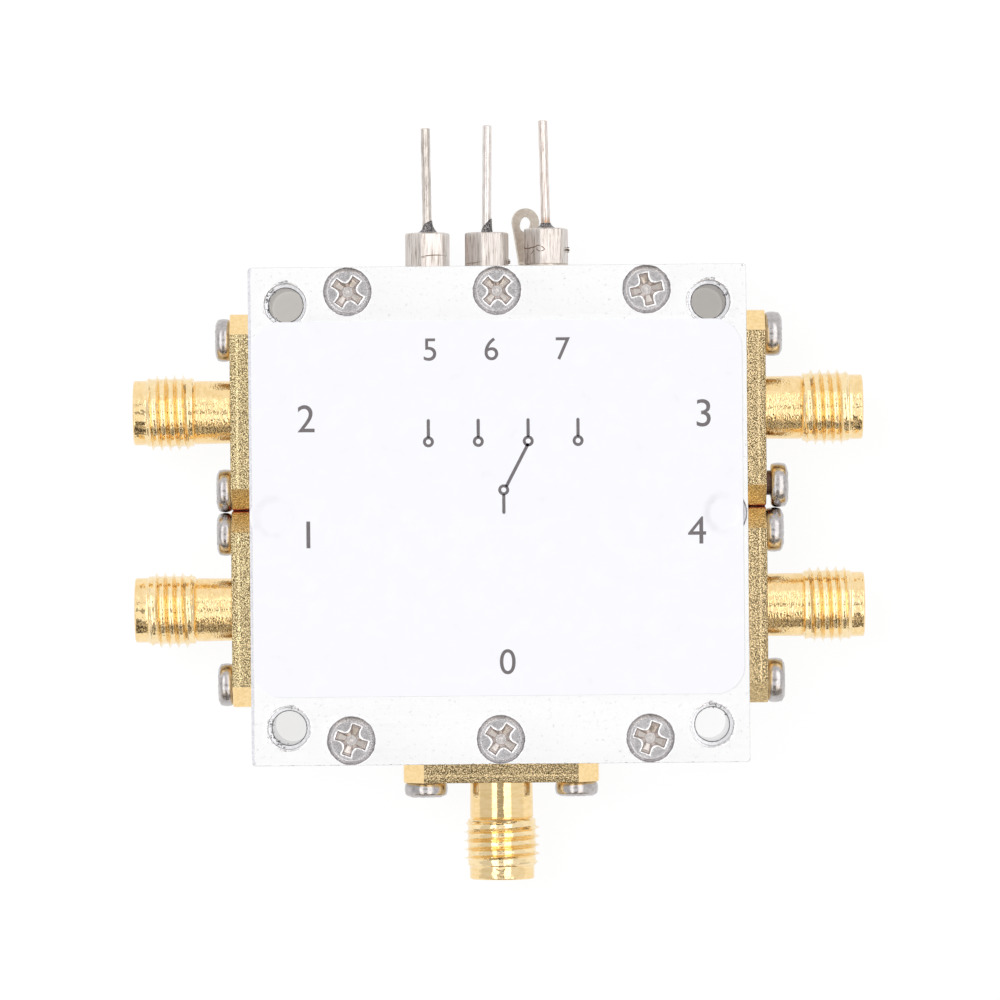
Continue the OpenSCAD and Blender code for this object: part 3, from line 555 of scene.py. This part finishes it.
def moved(shells, matrix):
    return [([matrix @ p for p in points], faces, kinds) for points, faces, kinds in shells]


def cross_floor(x, y):
    """How deep the pressed cross is at a place on a head."""
    reach, half_width, corner, lip, lip_height = 1.28, 0.29, 0.62, 0.12, 0.026
    x, y = abs(x), abs(y)
    arm_a = max(x - reach, y - half_width - 0.05 * x)
    arm_b = max(y - reach, x - half_width - 0.05 * y)
    melt = max(corner - abs(arm_a - arm_b), 0) / corner
    outside = min(arm_a, arm_b) - melt * melt * corner / 4
    r = math.hypot(x, y)
    if outside > lip:
        return 0.0
    if outside > 0:
        return lip_height * math.sin(math.pi * outside / lip)
    if r > 1.05:
        floor = 0.16 + 0.9 * (1.3 - r)
    elif r > 0.5:
        floor = 0.32 + 0.5 * (1.05 - r)
    else:
        floor = 0.595 + 0.07 * min(1, (0.5 - r) / 0.08) - 0.06 * max(0, 1 - r / 0.1)
    return -min(floor, 0.03 - outside * 3.4)


def pressed_head(rings, turn, profile, seed, count):
    """Loops of a head with a turned profile and the pressed cross in it."""
    c, s = math.cos(turn), math.sin(turn)
    loops = []
    for r in rings:
        loop = []
        for k in range(count):
            a = 2 * math.pi * k / count
            x, y = r * math.cos(a), r * math.sin(a)
            nick = 0.006 * noise.noise(Vector((3 * x, 3 * y, seed)))
            cross = cross_floor(c * x + s * y, c * y - s * x)
            loop.append(Vector((x, y, profile(r) + cross + nick)))
        loops.append(loop)
    return loops


def countersunk_top(r):
    if r < 1.62:
        return -0.02
    if r < 1.69:
        return -0.02 + 0.03 * (r - 1.62) / 0.07
    return 0.01 - 0.13 * (r - 1.69) / 0.21


lid_screw_turns = [55, 48, 12, 70, 55, 69, 20, 35]
sunk_rings = [0.03 * k for k in range(1, 47)]
face_end = len(sunk_rings)
sunk_rings += [1.46, 1.5, 1.58, 1.62, 1.65, 1.69, 1.72, 1.75, 1.78, 1.82, 1.86, 1.89]
rim_end = sunk_rings.index(1.82)
head_steps, sunk = 180, 0.1
RIM, BRIGHT_RIM = 1, 2
screw_shells = []
for k, ((x, y), turn) in enumerate(zip(screw_places, lid_screw_turns)):
    loops = pressed_head(sunk_rings, math.radians(turn), countersunk_top, k, head_steps)
    loops += [circle(r, z, head_steps) for r, z in ((1.89, -0.22), (1.0, -1.11), (1.0, -3.75), (0.75, -4))]
    rim = BRIGHT_RIM if (x, y) in covered else RIM
    shells = [skin(loops[:face_end + 1], first=True), skin(loops[rim_end:], [RIM] * head_steps, last=True),
              skin(loops[face_end:rim_end + 1], [rim] * head_steps)]
    screw_shells += moved(shells, Matrix.Translation((x, y, lid_top - sunk)))
lid_screws = piece("countersunk_screws", screw_shells, [steel, turned_rim, bright_rim],
                   40)
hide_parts("lid_screws")


# Each jack is a turned brass shell, milled to a flange with cut corners, threaded and gold
# plated. The long sides of the flange are sand blasted, and all the rest is bright, apart
# from scuffs on some of the cut corners and the red shade in the gap between two flanges.
wall, axis_height = 20, 5
flange_t, bolt_x = 1.65, 6.1
neck_end, thread_start, thread_pitch, thread_turns = 4.5, 4.62, 0.7056, 5.5
SAND, THREAD, NECK, BRIGHT, SCUFFED, SHADED = 1, 2, 3, 4, 5, 6


def turned(degrees, axis="Z"):
    return Matrix.Rotation(math.radians(degrees), 4, axis)


def on_wall(angle, along):
    """From a jack's own axis to a wall: 0 is the front, 90 the right and 180 the back."""
    return turned(angle) @ Matrix.Translation((along, -wall, axis_height)) @ turned(90, "X")


def turned_gold(name, along, pale, per_mm, depth, waves):
    """Bright gold with fine turning marks along a direction, and slow waves under them."""
    made, tree, shader = finish(name, (0.95, 0.7, 0.35), 1.0, 0.07)
    tones(tree, shader, spots(tree, 3, along, detail=2.0), (0.35, (0.9, 0.65 + 0.6 * pale, 0.31 + pale)),
          (0.6, (0.97, 0.73 + 0.6 * pale, 0.39 + pale)))
    bumps(tree, shader, reckon(tree, "MULTIPLY_ADD", spots(tree, 1.7, detail=1.0), waves,
                               spots(tree, per_mm, along, detail=1.0)), depth)
    return made


def sandy_gold(name, axis, middle, light):
    """Gold with blasted grains, a painted paler line where the flange's middle catches the light, and all
    of it painted lighter or darker by the light factor.
    """
    made, tree, shader = finish(name, (0.6, 0.42, 0.18), 1.0, 0.16)
    where = add(tree, "SeparateXYZ", {0: in_mm(tree)}).outputs[axis]
    band = reckon(tree, "MULTIPLY", near(tree, where, middle, 0.13, 0.03), 0.3)
    grains = rise(tree, spots(tree, 13, detail=2.0), 0.37, 0.64)
    tones(tree, shader, reckon(tree, "ADD", band, grains), *(
        (at, [light * c for c in colour]) for at, colour in (
            (0.1, (0.07, 0.052, 0.025)), (0.5, (0.35, 0.262, 0.132)), (0.95, (0.97, 0.75, 0.44)))))
    bumps(tree, shader, spots(tree, 12, detail=2.0), 0.03)
    return made


def tooth(phase):
    """One ridge of the thread, sharp at its crest."""
    return (1 - abs(phase - 0.5) / 0.5) ** 3.4


def barrel_radius(a, z, start):
    """The neck, the groove after it and the helical thread."""
    if z < neck_end:
        return 2.54 + 0.035 * (z - flange_t) / (neck_end - flange_t)
    if z < thread_start:
        return 2.53
    turns = (z - thread_start) / thread_pitch
    swell = min(1.0, turns / 0.9, (thread_turns - turns) / 0.9)
    root = min(1.0, turns / 0.1, (thread_turns - 0.05 - turns) / 0.1)
    phase = (turns - a / (2 * math.pi) + start) % 1
    return 2.625 + 0.12 * max(0.0, root) + 0.37 * max(0.0, swell) * tooth(phase)


def flange_outline(z, scuffed, meets, inset=0.0, grit=None):
    """A loop round the flange, with a pick for each of its sides."""
    half_long, half_wide, half_end, half_length, parts = 6.25, 2.85, 1.15, 7.95, 180
    long_side = [half_long - 2 * half_long * k / parts for k in range(parts + 1)]
    points, picks = [], []
    for sign in (1, -1):
        for k, x in enumerate(long_side):
            push = grit(sign * x, sign, z) if grit and 0 < k < parts else 0
            points.append(Vector((sign * x, sign * (half_wide - inset - push), z)))
            picks.append(SAND if k < parts else SCUFFED if -sign in scuffed else BRIGHT)
        for end in (half_end * sign, -half_end * sign):
            reach = half_length - inset + (0.0495 if end < 0 else -0.08)
            points.append(Vector((-sign * reach, end, z)))
        picks += [SHADED if -sign == meets else BRIGHT, SCUFFED if -sign in scuffed else BRIGHT]
    return points, picks


jacks = [("port_1", -90, 7.5, 0.48, (-1,), -1), ("port_2", -90, -8.5, 0.743, (1,), 1),
         ("port_3", 90, 8.5, 0.418, (-1,), -1), ("port_4", 90, -7.5, 0.76, (1, -1), 1),
         ("common_port", 0, 0, 0.45, (), 0)]
golds = {}
for angle, side, along, neck_depth in ((90, "sides", (1, 0.5, 0.5), 0.032),
                                       (0, "front", (0.35, 1, 0.35), 0.008)):
    golds[angle] = [turned_gold("smooth_gold_" + side, along, 0.02, 7, 0.014, 3.0),
                    turned_gold("thread_gold_" + side, along, 0.08, 8, 0.016, 2.5),
                    turned_gold("neck_gold_" + side, along, 0.0, 7, neck_depth, 0.4),
                    turned_gold("milled_gold_" + side, (1, 1, 1), 0.0, 9, 0.005, 0.5)]
golds[-90] = golds[90]
# Lit and shaded copies: the left side is painted lightest and the front darkest.
sands = {-90: sandy_gold("sandy_gold_left", 0, -21.07, 1.18),
         90: sandy_gold("sandy_gold_right", 0, 21.07, 1.0),
         0: sandy_gold("sandy_gold_front", 1, -21.07, 0.83)}
scuffed_gold, tree, shader = finish("scuffed_gold", (0.78, 0.58, 0.31), 1.0, 0.2)
tones(tree, shader, spots(tree, 9, (1, 1.3, 1), detail=2.0),
      (0.4, (0.36, 0.26, 0.12)), (0.6, (1.0, 0.77, 0.42)))
bumps(tree, shader, spots(tree, 9, (0.6, 2, 1)), 0.03)
shaded_gold = mottled("shaded_gold", (0.85, 0.2, 0.08), 0.0, 0.6, 6,
                      (0.3, (0.75, 0.15, 0.05)), (0.7, (0.9, 0.24, 0.1)), grain=6, depth_mm=0.008)
side_count, neck_rows, thread_rows = 128, 9, 90
for k, (name, angle, along, start, scuffed, meets) in enumerate(jacks):
    def grit(x, sign, z, seed=10.0 * k):
        p = Vector((x, z, seed + 3 * sign))
        return 0.02 + 0.02 * noise.noise(7 * p) + 0.014 * noise.noise(17 * p)

    levels = [0.04 + 0.0625 * i for i in range(25)]
    outlines = [flange_outline(0, scuffed, meets, 0.04)] + [
        flange_outline(z, scuffed, meets, 0, grit if 0 < i < 24 else None) for i, z in enumerate(levels)]
    outlines.append(flange_outline(flange_t - 0.05, scuffed, meets))
    outlines.append(flange_outline(flange_t, scuffed, meets, 0.05))
    picks = outlines[0][1]
    loops = [points for points, _ in outlines]
    heights = [flange_t, 1.9, 2.4, 3.0, 3.6, 4.2, 4.45, neck_end, 4.53]
    heights += [thread_start + thread_pitch * i / 16 for i in range(88)]
    heights += [8.56, 8.7, 9.0, 9.3, 9.39, 9.408]
    barrel = [circle(0, z, side_count, shape=lambda a: (barrel_radius(a, z, start), 0)) for z in heights]
    barrel += [circle(r, z, side_count) for r, z in (
        (2.595, 9.475), (2.51, 9.528), (2.42, 9.528), (2.33, 9.48), (2.3, 9.4),
        (2.3, 7.628), (2.07, 7.628), (2.07, 0))]
    bolt_holes = [[circle(1.3, z, 48, (x, 0)) for z in (0, flange_t)] for x in (-bolt_x, bolt_x)]
    thread_end = neck_rows + thread_rows - 2
    shells = [skin(loops, picks), skin(barrel[:neck_rows], [NECK] * side_count),
              skin(barrel[neck_rows - 1:thread_end + 1], [THREAD] * side_count), skin(barrel[thread_end:]),
              flat(loops[-1], [barrel[0], *(h[1] for h in bolt_holes)], BRIGHT),
              flat(loops[0], [barrel[-1], *(h[0] for h in bolt_holes)], BRIGHT)]
    shells += [skin(h) for h in bolt_holes]
    coats = [golds[angle][0], sands[angle], *golds[angle][1:], scuffed_gold, shaded_gold]
    shell = piece(name + "_gold_shell", moved(shells, on_wall(angle, along)), coats, 35)
    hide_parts(name + "_shell")
    for face in shell.data.polygons:
        if face.material_index == SAND:
            face.use_smooth = False

# Inside each jack a white insulator holds the gold-plated contact with its four slots.
# Both are turned parts and reach through the housing's wall to the board.
insulator = mottled("insulator_white", (0.9, 0.9, 0.87), 0.0, 0.35, 1.5,
                    (0.3, (0.86, 0.86, 0.83)), (0.7, (0.92, 0.92, 0.9)), grain=6, depth_mm=0.004)
contact_gold = mottled("contact_gold", (0.93, 0.68, 0.3), 1.0, 0.16, 5,
                       (0.3, (0.86, 0.6, 0.24)), (0.7, (0.96, 0.72, 0.34)))
for name, *_ in jacks:
    dress(name + "_insulator", insulator)
    dress(name + "_contact", contact_gold)


# Two plated pan head screws hold each flange. One on the right wall isn't driven home and
# stands off its flange, so that its shank shows in the gap.
def pan_top(r):
    """A nearly flat top that rounds over to the side."""
    if r < 1.05:
        return 1.22 - 0.02 * r
    return 1.199 - 0.42 * (1 - math.sqrt(max(0.0, 1 - ((r - 1.05) / 0.72) ** 2)))


plated = mottled("plated_steel", (0.47, 0.44, 0.43), 1.0, 0.15, 3,
                 (0.3, (0.4, 0.375, 0.37)), (0.7, (0.58, 0.555, 0.55)), detail=6.0, grain=7, depth_mm=0.008)
greased = mottled("greased_thread", (0.1, 0.055, 0.045), 0.4, 0.35, 6,
                  (0.3, (0.06, 0.03, 0.025)), (0.7, (0.2, 0.11, 0.09)), grain=9, depth_mm=0.02)
pan_rings = [0.045 * k for k in range(1, 31)] + [1.42, 1.5, 1.57, 1.63, 1.68]
head_steps = 96
GREASED = 1
screw_shells = []
stands_off = {("port_3", -1): 0.4}
settled = {("port_2", -1): 0.27, ("port_2", 1): 0.27, ("port_3", -1): -0.18, ("port_3", 1): -0.12}
for i, (name, angle, along, *_) in enumerate(jacks):
    for side in (-1, 1):
        lift = stands_off.get((name, side), 0)
        tall = Matrix.Diagonal((1.035, 1.035, 1.16, 1)) if angle == 90 else Matrix.Identity(4)
        turn = math.radians(37 * i + 20 * side)
        loops = pressed_head(pan_rings, turn, pan_top, 20 + i + side, head_steps)
        loops += [circle(r, z, head_steps) for r, z in (
            (1.72, 0.78), (1.745, 0.66), (1.75, 0.5), (1.735, 0.3), (1.69, 0.14), (1.61, 0.04),
            (1.5, 0), (1.0, 0))]
        shank = [circle(r, z, head_steps) for r, z in ((1.0, 0), (1.0, -3.75), (0.75, -4))]
        place = on_wall(angle, along) @ Matrix.Translation((bolt_x * side, 0, flange_t + lift))
        slide = Matrix.Translation((settled.get((name, side), 0), 0, 0))
        screw_shells += moved([skin(loops, first=True)], place @ slide @ tall)
        screw_shells += moved([skin(shank, [GREASED] * head_steps, last=True)], place)
flange_screws = piece("pan_head_screws", screw_shells, [plated, greased], 40)
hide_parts("flange_screws")

# Each feedthrough capacitor is a hexagonal brass body, drawn, nickel plated and gripped by
# pliers, which left gouges and burrs. Its shank is screwed into the back wall.
drawn_nickel, tree, shader = finish("drawn_nickel", (0.62, 0.58, 0.545), 1.0, 0.3)
tones(tree, shader, spots(tree, 10, (1, 0.05, 1)),
      (0.36, (0.34, 0.275, 0.235)), (0.45, (0.66, 0.6, 0.56)), (0.65, (0.8, 0.745, 0.705)))
bumps(tree, shader, spots(tree, 10, (1, 0.04, 1)), 0.02)
cut_brass = mottled("cut_brass", (0.16, 0.1, 0.06), 0.4, 0.5, 8,
                    (0.35, (0.07, 0.045, 0.03)), (0.65, (0.32, 0.21, 0.13)), grain=9, depth_mm=0.01)
hex_r, hex_length, bore_r, shank_r, shank_end = 1.635, 2.9, 0.9, 1.25, -4
TORN = 1


def hexagon(z, inset=0.0, corner=0.24, steps=8):
    """A loop with six flat sides and round corners."""
    face_r = hex_r - inset
    points = []
    for k in range(6):
        half = face_r * math.tan(math.radians(30)) - corner * math.tan(math.radians(30))
        for i in range(steps + 1):
            x = half - 2 * half * i / steps
            points.append(turned(60 * k) @ Vector((x, face_r, z)))
        middle = Vector((-half, face_r - corner, z))
        for a in (20, 40):
            swing = math.radians(90 + a)
            p = middle + corner * Vector((math.cos(swing), math.sin(swing), 0))
            points.append(turned(60 * k) @ p)
    return points


def gouge(facet, base, half_width, *path):
    """A torn groove with a dark floor, along places across and up one facet."""
    loops = []
    for k, here in enumerate(path):
        before, after = Vector(path[max(k - 1, 0)]), Vector(path[min(k + 1, len(path) - 1)])
        run = (after - before).normalized()
        side = Vector((-run.y, run.x)) * half_width * (0.25 if k in (0, len(path) - 1) else 1)
        middle = Vector(here)
        ring = ((middle - side, 0.002), (middle, 0.011), (middle + side, 0.002), (middle, -0.015))
        loops.append([turned(60 * facet) @ Vector((p.x, hex_r + out, p.y + base)) for p, out in ring])
    return skin(loops, [TORN] * 4, first=True, last=True)


gouges = [
    [(0, 0.04, (0.94, 0.92), (0.5, 1.0), (0.1, 1.05), (-0.5, 1.06), (-0.94, 1.04)),
     (0, 0.025, (0.94, 0.92), (0.8, 0.84), (0.55, 0.86)),
     (1, 0.025, (0.94, 1.02), (0.3, 0.98), (0.1, 1.08))],
    [(5, 0.03, (0.94, 0.33), (0.4, 0.4), (-0.1, 0.39), (-0.94, 0.52)),
     (5, 0.02, (0.94, 0.2), (0.5, 0.23), (0.1, 0.3))],
    [(5, 0.045, (0.93, 1.42), (0.83, 1.28), (0.5, 1.22), (0.1, 1.3), (-0.28, 1.35),
      (-0.66, 1.48), (-0.94, 1.43)),
     (0, 0.045, (0.94, 1.43), (0.75, 1.32), (0.59, 1.15), (0.75, 1.04), (0.94, 1.0)),
     (5, 0.04, (-0.94, 1.0), (-0.72, 1.02), (-0.5, 1.18), (-0.66, 1.3)),
     (5, 0.04, (-0.28, 1.12), (-0.05, 0.95), (0.17, 0.74)),
     (5, 0.035, (0.33, 1.02), (0.61, 0.8))]]
torn_edges = [[], [(0.4, 0.09), (0.55, 0.11), (0.7, 0.07)], [(0.95, 0.08), (1.12, 0.16), (1.32, 0.09)]]
feeds = [("feedthrough_1", -5.61, 14.6, 0, 11.4, -0.6), ("feedthrough_2", -0.8, 18.3, 0, 11.75, 0.8),
         ("feedthrough_3", 4.01, 16, 0.3, 12.2, -1.2)]
for (name, x, turn, base, _, _), cuts, edge in zip(feeds, gouges, torn_edges):
    rows = [base + 0.03 + 0.3 * i for i in range(10)]
    top = base + hex_length
    loops = [hexagon(base, 0.03)] + [hexagon(z) for z in rows]
    loops += [hexagon(top - 0.12, 0.01), hexagon(top - 0.04, 0.08, 0.4), hexagon(top, 0.22, 0.9)]
    bore = [circle(bore_r, z, 48) for z in (top, shank_end)]
    shank = [circle(shank_r, z, 48) for z in (shank_end, base)]
    shells = [skin(loops), flat(loops[-1], [bore[0]]), skin(bore), flat(shank[0], [bore[1]]), skin(shank),
              flat(loops[0], [shank[1]]), *(gouge(facet, base, half, *path) for facet, half, *path in cuts)]
    shells = moved(shells, turned(turn))
    for up, size in edge:
        points, faces, _ = chip((-1.8, 0, base + up), size)
        shells.append((points, faces, [TORN] * len(faces)))
    body = piece(name + "_hexagon", moved(shells, on_wall(180, -x)), [drawn_nickel, cut_brass],
                 25)
    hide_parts(name + "_body")

# A tinned copper wire runs through each capacitor. Outside it is a little bent and was
# scraped; the first is the roughest, and the third is tinted brown where it was soldered.
wires = []
for name, dark, bright in (("scraped_copper", (0.4, 0.35, 0.32), (0.74, 0.68, 0.63)),
                           ("tinned_copper", (0.58, 0.51, 0.48), (0.88, 0.83, 0.8)),
                           ("tinted_copper", (0.6, 0.5, 0.45), (0.9, 0.83, 0.78))):
    made, tree, shader = finish(name, bright, 1.0, 0.3)
    grain = spots(tree, 6, (1, 0.12, 1))
    if name == "tinted_copper":
        outward = add(tree, "SeparateXYZ", {0: in_mm(tree)}).outputs[1]
        grain = reckon(tree, "SUBTRACT", grain, rise(tree, outward, 24.3, 23.7, 0.0, 0.26))
    tones(tree, shader, grain, (0.1, (0.55, 0.3, 0.14)), (0.32, dark), (0.6, bright))
    bumps(tree, shader, spots(tree, 8, (1, 0.2, 1)), 0.02 if name == "scraped_copper" else 0.01)
    wires.append(made)
wire_rows, wire_r = 90, 0.372
for k, (name, x, _, base, out, lean) in enumerate(feeds):
    slope = -math.tan(math.radians(lean))
    top = base + hex_length
    out -= (0, 0.15, 0.25)[k]
    spread = (0.02, 0.008, 0.008)[k]
    loops = [circle(0.2, -6.4, 24), circle(0.35, -6.3, 24), circle(0.35, top - 0.2, 24)]
    for i in range(wire_rows):
        z = top + (out - 0.06 - top) * i / (wire_rows - 1)
        swell = 0.01 * noise.noise(Vector((k, 0, 1.3 * z)))
        rough = torn(2.5 * z + 9 * k, spread, 1.5)
        loops.append(circle(wire_r + swell, z, 24, (slope * (z - top), 0), lambda a: (rough(a), 0)))
    loops += [circle(r, z, 24, (slope * (z - top), 0)) for r, z in ((0.33, out - 0.02), (0.2, out))]
    lead = piece(name + "_wire", moved([skin(loops, first=True, last=True)], on_wall(180, -x)),
                 [wires[k]], 50)
    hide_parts(name + "_lead")

# Black resin seals both ends of the bore. It was poured by hand: on the first two it runs up
# one side of the wire and was scratched, and on the third it is an even fillet.
resin = mottled("black_resin", (0.05, 0.045, 0.05), 0.0, 0.3, 10,
                (0.49, (0.04, 0.035, 0.04)), (0.61, (0.4, 0.37, 0.36)), detail=2.0, grain=8, depth_mm=0.02)
climbs = [(0.86, 0.22, 1.0, 150), (0.5, 0.1, 1.1, 165), (0.84, 0.38, 0.42, 120)]
for (name, x, _, base, _, lean), (foot, low, high, side) in zip(feeds, climbs):
    top = base + hex_length
    slope = -math.tan(math.radians(lean))
    loops = [circle(0.37, top - 0.6, 40), circle(0.88, top - 0.6, 40), circle(0.88, top + 0.004, 40)]
    for t in (0, 0.15, 0.3, 0.5, 0.7, 0.85, 1):
        loop = []
        for i in range(40):
            a = 2 * math.pi * i / 40
            climb = low + (high - low) * (0.5 + 0.5 * math.cos(a - math.radians(side))) ** 0.8
            climb += 0.05 * noise.noise(Vector((3 * a, 2, x)))
            r = 0.43 + (foot - 0.43) * (1 - t) ** 2.2
            z = top + 0.006 + climb * t
            loop.append(Vector((r * math.cos(a) + slope * (z - top), r * math.sin(a), z)))
        loops.append(loop)
    loops.append([p - q for p, q in zip(loops[-1], circle(0.05, 0.01, 40))])
    loops.append(circle(0.385, top - 0.2, 40))
    loops.append(loops[0])
    inner = [circle(r, z, 40)
             for r, z in ((0.37, -4), (0.88, -4), (0.88, -3.4), (0.37, -3.4), (0.37, -4))]
    seal = piece(name + "_resin", moved([skin(loops), skin(inner)], on_wall(180, -x)),
                 [resin], 50)
    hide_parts(name + "_seals")

# A tube of ceramic between wire and bore makes each feedthrough a capacitor. It is fired,
# plated and soldered in, and the resin hides it.
ceramic = mottled("capacitor_ceramic", (0.55, 0.4, 0.28), 0.0, 0.5, 4,
                  (0.3, (0.48, 0.34, 0.23)), (0.7, (0.6, 0.45, 0.32)))
for name, *_ in feeds:
    dress(name + "_ceramic", ceramic)

# The ground lug is one stamping of tinned sheet. Its ring is clamped under the third hexagon,
# and its bent tail points outward and ends in a slotted eye for the wire.
tin = mottled("warm_tin", (0.66, 0.585, 0.5), 1.0, 0.34, 4,
              (0.3, (0.56, 0.48, 0.4)), (0.7, (0.72, 0.65, 0.57)), detail=6.0, grain=9, depth_mm=0.012)
sheared = mottled("sheared_edge", (0.3, 0.26, 0.22), 0.6, 0.5, 8,
                  (0.35, (0.1, 0.08, 0.07)), (0.65, (0.28, 0.24, 0.2)), grain=9, depth_mm=0.01)
lug_t, drop, bend_r = 0.3, 3.8, 0.4
bend_at = lug_t + bend_r
ring_r, hole_r, half_neck, eye_r, lug_end = 1.8, 1.33, 0.65, 1.2, 4.95
eye_z = lug_end - eye_r


def lug_ring(z):
    """The ring with the start of its tail."""
    start = math.asin(half_neck / ring_r)
    points = [Vector((ring_r * math.sin(a), -ring_r * math.cos(a), z))
              for a in (start + (2 * math.pi - 2 * start) * k / 60 for k in range(61))]
    return points + [Vector((-half_neck, bend_at - drop, z)), Vector((half_neck, bend_at - drop, z))]


def lug_tail(y):
    """The tail from the bend to its round end."""
    points = [Vector((half_neck, y, bend_at)), Vector((eye_r, y, eye_z))]
    points += [Vector((eye_r * math.cos(a), y, eye_z + eye_r * math.sin(a)))
               for a in (math.pi * k / 24 for k in range(1, 24))]
    return points + [Vector((-eye_r, y, eye_z)), Vector((-half_neck, y, bend_at))]


def lug_slot(y):
    """The eye's slot, which leans a little."""
    points = []
    for end, start in ((0, 0), (-0.25, 180)):
        for k in range(17):
            a = math.radians(start + 180 * k / 16)
            points.append(turned(20) @ Vector((0.5 * math.cos(a), end + 0.5 * math.sin(a), 0)))
    return [Vector((p.x, y, eye_z + p.y)) for p in points]


def upright(outline, holes):
    """An upright face with holes, at the place of its outline."""
    points, faces, kinds = flat([Vector((p.x, p.z, 0)) for p in outline],
                                [[Vector((p.x, p.z, 0)) for p in hole] for hole in holes])
    return [Vector((p.x, outline[0].y, p.y)) for p in points], faces, kinds


rings = [lug_ring(z) for z in (0, lug_t)]
bores = [circle(hole_r, z, 48) for z in (0, lug_t)]
tails = [lug_tail(y) for y in (-drop, lug_t - drop)]
slots = [lug_slot(y) for y in (-drop, lug_t - drop)]
bend = []
for k in range(11):
    a = math.radians(9 * k)
    bend.append([Vector((sx * half_neck, bend_at - drop - r * math.sin(a), bend_at - r * math.cos(a)))
                 for sx, r in ((-1, bend_r), (1, bend_r), (1, bend_at), (-1, bend_at))])
lug_work = bmesh.new()
for points, faces, _ in (skin(rings), skin(bores), flat(rings[0], [bores[0]]), flat(rings[1], [bores[1]]),
                         skin(tails), skin(slots), upright(tails[0], [slots[0]]),
                         upright(tails[1], [slots[1]]), skin(bend)):
    made = [lug_work.verts.new(p) for p in points]
    for face in faces:
        lug_work.faces.new([made[i] for i in face])
bmesh.ops.remove_doubles(lug_work, verts=lug_work.verts, dist=1e-5)
seams = [f for f in lug_work.faces if all(abs(v.co.y - (bend_at - drop)) < 1e-4 for v in f.verts)]
seams += [f for f in lug_work.faces if all(abs(v.co.z - bend_at) < 1e-4 for v in f.verts)]
bmesh.ops.delete(lug_work, geom=list(set(seams)), context="FACES_ONLY")
bmesh.ops.recalc_face_normals(lug_work, faces=lug_work.faces)
sharp_edges = [e for e in lug_work.edges if len(e.link_faces) == 2 and e.calc_face_angle(0) > 0.9]
bmesh.ops.bevel(lug_work, geom=sharp_edges, offset=0.075, segments=2, affect="EDGES",
                clamp_overlap=True, material=1)
lug_work.verts.index_update()
shell = ([v.co.copy() for v in lug_work.verts], [[v.index for v in f.verts] for f in lug_work.faces],
         [f.material_index for f in lug_work.faces])
lug_work.free()
lug_place = on_wall(180, -feeds[2][1]) @ turned(26.8)
lug = piece("solder_lug", moved([shell], lug_place), [tin, sheared], 40)
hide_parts("ground_lug")

# Under the lid lies a green board with its chip and small parts. Nothing of it shows from
# outside, and each piece has the finish that such parts have.
for name, colour, metallic, roughness, per_mm, node_names in (
        ("green_laminate", (0.07, 0.22, 0.12), 0.0, 0.4, 3, ["circuit_board"]),
        ("etched_copper", (0.75, 0.5, 0.26), 1.0, 0.35, 5, ["copper_traces"]),
        ("chip_plastic", (0.06, 0.06, 0.065), 0.0, 0.5, 6, ["switch_chip"]),
        ("part_ceramic", (0.62, 0.5, 0.36), 0.0, 0.4, 6, ["blocking_capacitors", "bypass_capacitors"]),
        ("resistor_glaze", (0.08, 0.08, 0.09), 0.0, 0.3, 6, ["series_resistors"]),
        ("smooth_solder", (0.72, 0.72, 0.73), 1.0, 0.22, 4, ["solder_joints"]),
        ("board_screw_steel", (0.62, 0.6, 0.6), 1.0, 0.3, 4, ["board_screws"])):
    made = mottled(name, colour, metallic, roughness, per_mm,
                   (0.3, [0.85 * c for c in colour]), (0.7, [1.1 * c for c in colour]))
    for node_name in node_names:
        dress(node_name, made)
